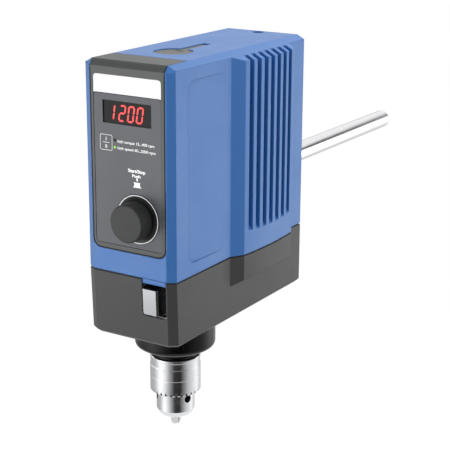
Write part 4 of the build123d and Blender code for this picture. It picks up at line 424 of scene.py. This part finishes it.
def rounded(left, right, bottom, top, radius, steps=5):
    """Points round a rectangle with rounded corners."""
    points = []
    centres = ((right - radius, top - radius), (left + radius, top - radius),
               (left + radius, bottom + radius), (right - radius, bottom + radius))
    for quarter, (x, y) in enumerate(centres):
        for step in range(steps + 1):
            turn = math.radians(90) * (quarter + step / steps)
            points.append((x + radius * math.cos(turn), y + radius * math.sin(turn)))
    return points


# ---- display, in mm -----------------------------------------------------------------------------
DIGIT_WIDTH = 5.6
DIGIT_HEIGHT = 11.8
DIGIT_PITCH = 7.4
DIGIT_LEFT = -15.9
ONE_SHIFT = -1.7             # a one stands further left than the other digits
DIGIT_BOTTOM = 109.7
DIGIT_STROKE = 1.25
DIGIT_GAP = 0.25             # between the ends of two bars
DIGIT_SLANT = math.radians(9)
SEGMENTS = {"0": "abcdef", "1": "bc", "2": "abged"}


def display_segment(name, x, y, length, upright):
    """One bar with pointed ends, centred on x, y in the digit's own slanted frame."""
    half, thick = length / 2, DIGIT_STROKE / 2
    ends = ((half, 0), (half - thick, thick), (thick - half, thick))
    corners = []
    for along, across in ends + tuple((-a, -b) for a, b in ends):
        u, v = (across, along) if upright else (along, across)
        corners.append((x + u + (y + v) * math.tan(DIGIT_SLANT), DIGIT_BOTTOM + y + v))
    printed_shape(name, corners, DIGIT_RED, WINDOW_FACE)


def display_digits(number):
    """Lit bars of a number; each bar has its middle in the digit and stands upright or lies."""
    reach = DIGIT_HEIGHT / 2
    middle = DIGIT_WIDTH / 2
    left, right = DIGIT_STROKE / 2, DIGIT_WIDTH - DIGIT_STROKE / 2
    lower, upper = reach / 2 + DIGIT_STROKE / 4, reach * 1.5 - DIGIT_STROKE / 4
    spots = {
        "a": (middle, DIGIT_HEIGHT - DIGIT_STROKE / 2, False),
        "g": (middle, reach, False),
        "d": (middle, DIGIT_STROKE / 2, False),
        "b": (right, upper, True),
        "c": (right, lower, True),
        "f": (left, upper, True),
        "e": (left, lower, True),
    }
    for place, digit in enumerate(number):
        for segment in SEGMENTS[digit]:
            x, y, upright = spots[segment]
            length = (reach - DIGIT_STROKE / 2 if upright else DIGIT_WIDTH - DIGIT_STROKE) - DIGIT_GAP
            x += DIGIT_LEFT + place * DIGIT_PITCH + (ONE_SHIFT if digit == "1" else 0)
            display_segment(f"digit_{place + 1}_{segment}", x, y, length, upright)


display_digits("1200")


# ---- print on the panel, in mm ------------------------------------------------------------------
THIN = 0.035
KNOB_X, KNOB_HEIGHT = 7.8, 42.2
RING_LINE = 17.2             # radius of the white ring round the knob
RING_STEPS = 72
BEZEL_EDGE = 30.95
BEZEL_FOOT = 17.15
BEZEL_CORNER = 6.4
BEZEL_LINE_TOP = 145

printed_line("range_box", rounded(-23.5, -13.3, 88.6, 99.4, 0.9), 0.34, closed=True)
printed_line("range_box_split", [(-21.2, 94.0), (-15.6, 94.0)], 0.35)
printed_words("range_one", "I", -18.4, 95.4, 2.4, align="CENTER", bold=0.05)
printed_words("range_two", "II", -18.4, 90.1, 2.4, align="CENTER", bold=0.05)
printed_words("range_low_words", "high torque 12...400 rpm", -8.7, 95.0, 1.9, width=31.0, bold=THIN)
printed_words("range_high_words", "high speed 60...2000 rpm", -8.7, 90.3, 1.9, width=31.9, bold=THIN)
printed_words("start_words", "Start/Stop", 7.3, 75.4, 2.3, align="CENTER", width=14.6)
printed_words("push_words", "Push", 7.0, 72.1, 1.9, align="CENTER", width=7.2)
printed_shape("push_arrow", [(6.8, 70.8), (7.1, 71.5), (7.6, 71.8), (8.1, 71.5), (8.4, 70.8), (7.6, 69.0)])
printed_shape("push_cap", [(4.7, 68.6), (5.3, 66.8), (9.8, 66.8), (10.3, 68.6)])
printed_shape("push_base", [(4.1, 64.9), (5.3, 66.8), (9.8, 66.8), (11.1, 64.9)])

ring_points = []
for step in range(RING_STEPS):
    turn = math.radians(360 / RING_STEPS * step)
    ring_points.append((KNOB_X + RING_LINE * math.cos(turn), KNOB_HEIGHT + RING_LINE * math.sin(turn)))
printed_line("knob_ring_line", ring_points, 0.55, closed=True, face=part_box("knob_ring")[0][1])
printed_line(
    "sheet_outline", rounded(-28.6, 28.3, 20.7, 128.6, 2.3), 0.5, closed=True, material=LINE_AND_SHADE_BLACK,
)
whole = rounded(-BEZEL_EDGE, BEZEL_EDGE, BEZEL_FOOT, 2 * BEZEL_LINE_TOP, BEZEL_CORNER)
foot = [(x, height) for x, height in whole if height < BEZEL_LINE_TOP]
bezel_side = [(-BEZEL_EDGE, BEZEL_LINE_TOP)] + foot + [(BEZEL_EDGE, BEZEL_LINE_TOP)]
printed_line("bezel_outline", bezel_side, 0.9, face=FRONT, material=LINE_AND_SHADE_BLACK)


# ---- painted shade in the notches between the teeth for the chuck key, in mm ---------------------
KEY_TEETH = 30
NOTCH_HALF = 1.3
NOTCH_FOOT = 0.05            # the painted shade starts this far above the foot of the sleeve
NOTCH_HEIGHT = 3.1
FOOT_SINK = 1.15             # how far the painted shade stands inside the sleeve's face, at its foot
TIP_SINK = 0.1
SHADE_SHEET_DEPTH = 0.5


def key_notch_shade():
    """Black sheets of painted shade just inside the mouth of every notch at the bottom of the chuck
    sleeve.
    """
    low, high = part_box("chuck_sleeve")
    radius = (high[0] - low[0]) / 2
    middle = Matrix.Translation(((low[0] + high[0]) / 2, (low[1] + high[1]) / 2, low[2]))
    foot_y, tip_y = -radius + FOOT_SINK * MM, -radius + TIP_SINK * MM
    corners = (
        (-NOTCH_HALF * MM, foot_y, NOTCH_FOOT * MM),
        (NOTCH_HALF * MM, foot_y, NOTCH_FOOT * MM),
        (0, tip_y, NOTCH_HEIGHT * MM),
    )
    shade_sheets = []
    for step in range(KEY_TEETH):
        shade_sheet = extruded(corners, (0, SHADE_SHEET_DEPTH * MM, 0))
        shade_sheet.matrix_world = middle @ Matrix.Rotation(math.radians(360 / KEY_TEETH * step), 4, "Z")
        shade_sheets.append(shade_sheet)
    for shade_sheet in shade_sheets:
        shade_sheet.select_set(True)
    bpy.ops.object.join()
    # the black sheets are painted shade in the notches
    settle(bpy.context.object, "key_notch_painted_shade", LINE_AND_SHADE_BLACK, "sleeve")


key_notch_shade()


# ---- camera and lamps ---------------------------------------------------------------------------
LENS = 102.08
CAMERA_PLACE = (0.50956, -0.87023, 0.24992)
AZIMUTH, ELEVATION, ROLL = 31.98, 16.56, 0.3
LAMP_TARGET = Vector((0, -0.1, 0))

camera_data = bpy.data.cameras.new("camera")
camera_data.lens = LENS
camera_data.sensor_width = 36.0
camera_data.clip_start = 0.01
camera = bpy.data.objects.new("camera", camera_data)
bpy.context.collection.objects.link(camera)
turned = Matrix.Rotation(math.radians(AZIMUTH), 4, "Z")
tilted = Matrix.Rotation(math.radians(90 - ELEVATION), 4, "X")
rolled = Matrix.Rotation(math.radians(ROLL), 4, "Z")
camera.matrix_world = Matrix.Translation(CAMERA_PLACE) @ turned @ tilted @ rolled
bpy.context.scene.camera = camera


def soft_lamp(name, place, size, power):
    """A rectangular lamp, size across and up, that looks at the object."""
    lamp_data = bpy.data.lights.new(name, "AREA")
    lamp_data.shape = "RECTANGLE"
    lamp_data.size, lamp_data.size_y = size
    lamp_data.energy = power
    lamp = bpy.data.objects.new(name, lamp_data)
    bpy.context.collection.objects.link(lamp)
    lamp.location = place
    lamp.rotation_euler = (LAMP_TARGET - Vector(place)).to_track_quat("-Z", "Y").to_euler()


soft_lamp("lamp_front", (-0.55, -1.15, 0.75), (0.9, 0.9), 4.0)
soft_lamp("lamp_right", (1.3, 0.35, 0.45), (0.7, 1.1), 5.0)
soft_lamp("lamp_top", (0.1, 0.1, 1.2), (1.0, 1.0), 5.0)


# ---- sky, ring and floor ------------------------------------------------------------------------
def ray_mask(tree, *labels):
    """One for the rays named by labels, nothing for the others."""
    path = tree.nodes.new("ShaderNodeLightPath")
    total = path.outputs[labels[0]]
    for label in labels[1:]:
        total = maths(tree, "ADD", total, path.outputs[label])
    return maths(tree, "MINIMUM", total, 1.0)


def flat_light(tree, kind, strength):
    node = tree.nodes.new(kind)
    node.inputs["Color"].default_value = (1, 1, 1, 1)
    node.inputs["Strength"].default_value = strength
    return node.outputs[0]


def shader_mix(tree, mask, first, second):
    node = tree.nodes.new("ShaderNodeMixShader")
    for socket, value in zip(node.inputs, (mask, first, second)):
        tree.links.new(value, socket)
    return node.outputs[0]


SKY_FILL = 0.6               # lights the surfaces
SKY_GLOSS = 1.0              # seen in gloss
BACKDROP = 1.0               # seen behind the object


def make_sky():
    world = bpy.data.worlds.new("studio")
    bpy.context.scene.world = world
    world.use_nodes = True
    tree = world.node_tree
    tree.nodes.clear()
    fill, gloss, backdrop = (
        flat_light(tree, "ShaderNodeBackground", level) for level in (SKY_FILL, SKY_GLOSS, BACKDROP)
    )
    unseen = shader_mix(tree, ray_mask(tree, "Is Glossy Ray"), fill, gloss)
    seen = ray_mask(tree, "Is Camera Ray", "Is Transmission Ray")
    sky = shader_mix(tree, seen, unseen, backdrop)
    tree.links.new(sky, tree.nodes.new("ShaderNodeOutputWorld").inputs[0])


make_sky()

RING_RADIUS = 0.9
RING_FOOT, RING_TOP = -0.78, 1.10
RING_MIDDLE_Y = -0.12
RAMP_TOP = 4.0               # levels are divided by this in the ramp

# Levels round the ring: degrees from the front, through the right to the back, and the brightness.
LOW_LEVELS = [
    (-180, 0.75), (-110, 0.5), (-70, 0.62), (-35, 1.45), (-14, 0.95), (8, 0.4), (28, 0.04), (58, 0.03),
    (74, 0.28), (94, 0.68), (145, 1.3), (168, 0.85),
]
HIGH_LEVELS = [
    (-180, 0.7), (-110, 0.6), (-64, 2.2), (-32, 6.5), (-8, 3.6), (8, 1.1), (30, 0.4), (60, 0.3),
    (110, 0.7), (148, 3.2), (159, 1.6), (174, 0.85),
]
BAND_LEVELS = [(-180, 1.05), (112, 0.95), (132, 0.16), (164, 0.16), (178, 0.95)]
EDGE_LEVELS = [(-180, 1.05), (134, 1.0), (148, 4.5), (172, 4.5)]
# Each row of levels takes over from the one below it between two heights.
RING_ROWS = [
    (-0.46, -0.38, HIGH_LEVELS),
    (0.10, 0.16, BAND_LEVELS),
    (0.26, 0.40, [(-180, SKY_GLOSS)]),
    (0.54, 0.60, EDGE_LEVELS),
]


def azimuth_curve(tree, azimuth, levels):
    """Brightness at an azimuth given as 0 to 1, which is -180 to 180 degrees."""
    ramp = tree.nodes.new("ShaderNodeValToRGB")
    stops = ramp.color_ramp.elements
    while len(stops) > 1:
        stops.remove(stops[-1])
    for step, (degrees, value) in enumerate(levels):
        place = (degrees + 180) / 360
        stop = stops[0] if step == 0 else stops.new(place)
        stop.position = place
        stop.color = [value / RAMP_TOP] * 3 + [1]
    tree.links.new(azimuth, ramp.inputs[0])
    return maths(tree, "MULTIPLY", ramp.outputs[0], RAMP_TOP)


def gloss_ring():
    """Upright ring round the object that shows in its gloss only."""
    alone()
    bpy.ops.mesh.primitive_cylinder_add(
        vertices=72, radius=RING_RADIUS, depth=RING_TOP - RING_FOOT, end_fill_type="NOTHING",
        location=(0, RING_MIDDLE_Y, (RING_FOOT + RING_TOP) / 2),
    )
    ring = bpy.context.object
    ring.name = "gloss_ring"
    bpy.ops.object.transform_apply(location=True, rotation=True, scale=True)
    shine = bpy.data.materials.new("gloss_ring")
    shine.use_nodes = True
    tree = shine.node_tree
    tree.nodes.clear()
    axes = tree.nodes.new("ShaderNodeSeparateXYZ")
    tree.links.new(tree.nodes.new("ShaderNodeTexCoord").outputs["Object"], axes.inputs[0])
    forward = maths(tree, "MULTIPLY", maths(tree, "ADD", axes.outputs["Y"], -RING_MIDDLE_Y), -1.0)
    around = maths(tree, "ARCTAN2", axes.outputs["X"], forward)
    azimuth = maths(tree, "MULTIPLY_ADD", around, 0.5 / math.pi, 0.5)
    level = azimuth_curve(tree, azimuth, LOW_LEVELS)
    for start, end, levels in RING_ROWS:
        rise = maths(tree, "DIVIDE", maths(tree, "SUBTRACT", axes.outputs["Z"], start), end - start)
        rise = maths(tree, "MINIMUM", maths(tree, "MAXIMUM", rise, 0.0), 1.0)
        change = maths(tree, "SUBTRACT", azimuth_curve(tree, azimuth, levels), level)
        level = maths(tree, "MULTIPLY_ADD", change, rise, level)
    glow = tree.nodes.new("ShaderNodeEmission")
    tree.links.new(level, glow.inputs["Strength"])
    tree.links.new(glow.outputs[0], tree.nodes.new("ShaderNodeOutputMaterial").inputs[0])
    ring.data.materials.append(shine)
    ring.visible_camera = False
    ring.visible_diffuse = False
    ring.visible_shadow = False
    ring.visible_transmission = False


gloss_ring()

FLOOR_SIZE = 18
FLOOR_HEIGHT = -0.8
PAPER = (0.8, 0.8, 0.8, 1)   # how the floor lights the object
SHADED = (0.3, 0.3, 0.3, 1)  # the part of the seen floor that shows shadows
FLOOR_GLOW = 0.82            # the part of the seen floor that doesn't


def lay_floor():
    """White floor: seen, it fades into the backdrop and keeps the shadow."""
    alone()
    bpy.ops.mesh.primitive_plane_add(size=FLOOR_SIZE, location=(0, 0, FLOOR_HEIGHT))
    floor = bpy.context.object
    floor.name = "floor"
    material = bpy.data.materials.new("floor_white")
    material.use_nodes = True
    tree = material.node_tree
    paper = tree.nodes["Principled BSDF"]
    paper.inputs["Base Color"].default_value = PAPER
    paper.inputs["Roughness"].default_value = 1.0
    paper.inputs["Specular IOR Level"].default_value = 0.0
    shaded = tree.nodes.new("ShaderNodeBsdfDiffuse")
    shaded.inputs["Color"].default_value = SHADED
    bright = tree.nodes.new("ShaderNodeAddShader")
    tree.links.new(flat_light(tree, "ShaderNodeEmission", FLOOR_GLOW), bright.inputs[0])
    tree.links.new(shaded.outputs[0], bright.inputs[1])
    seen = ray_mask(tree, "Is Camera Ray", "Is Glossy Ray", "Is Transmission Ray")
    shown = shader_mix(tree, seen, paper.outputs[0], bright.outputs[0])
    tree.links.new(shown, tree.nodes["Material Output"].inputs["Surface"])
    floor.data.materials.append(material)


lay_floor()

bpy.context.scene.view_settings.view_transform = "Standard"
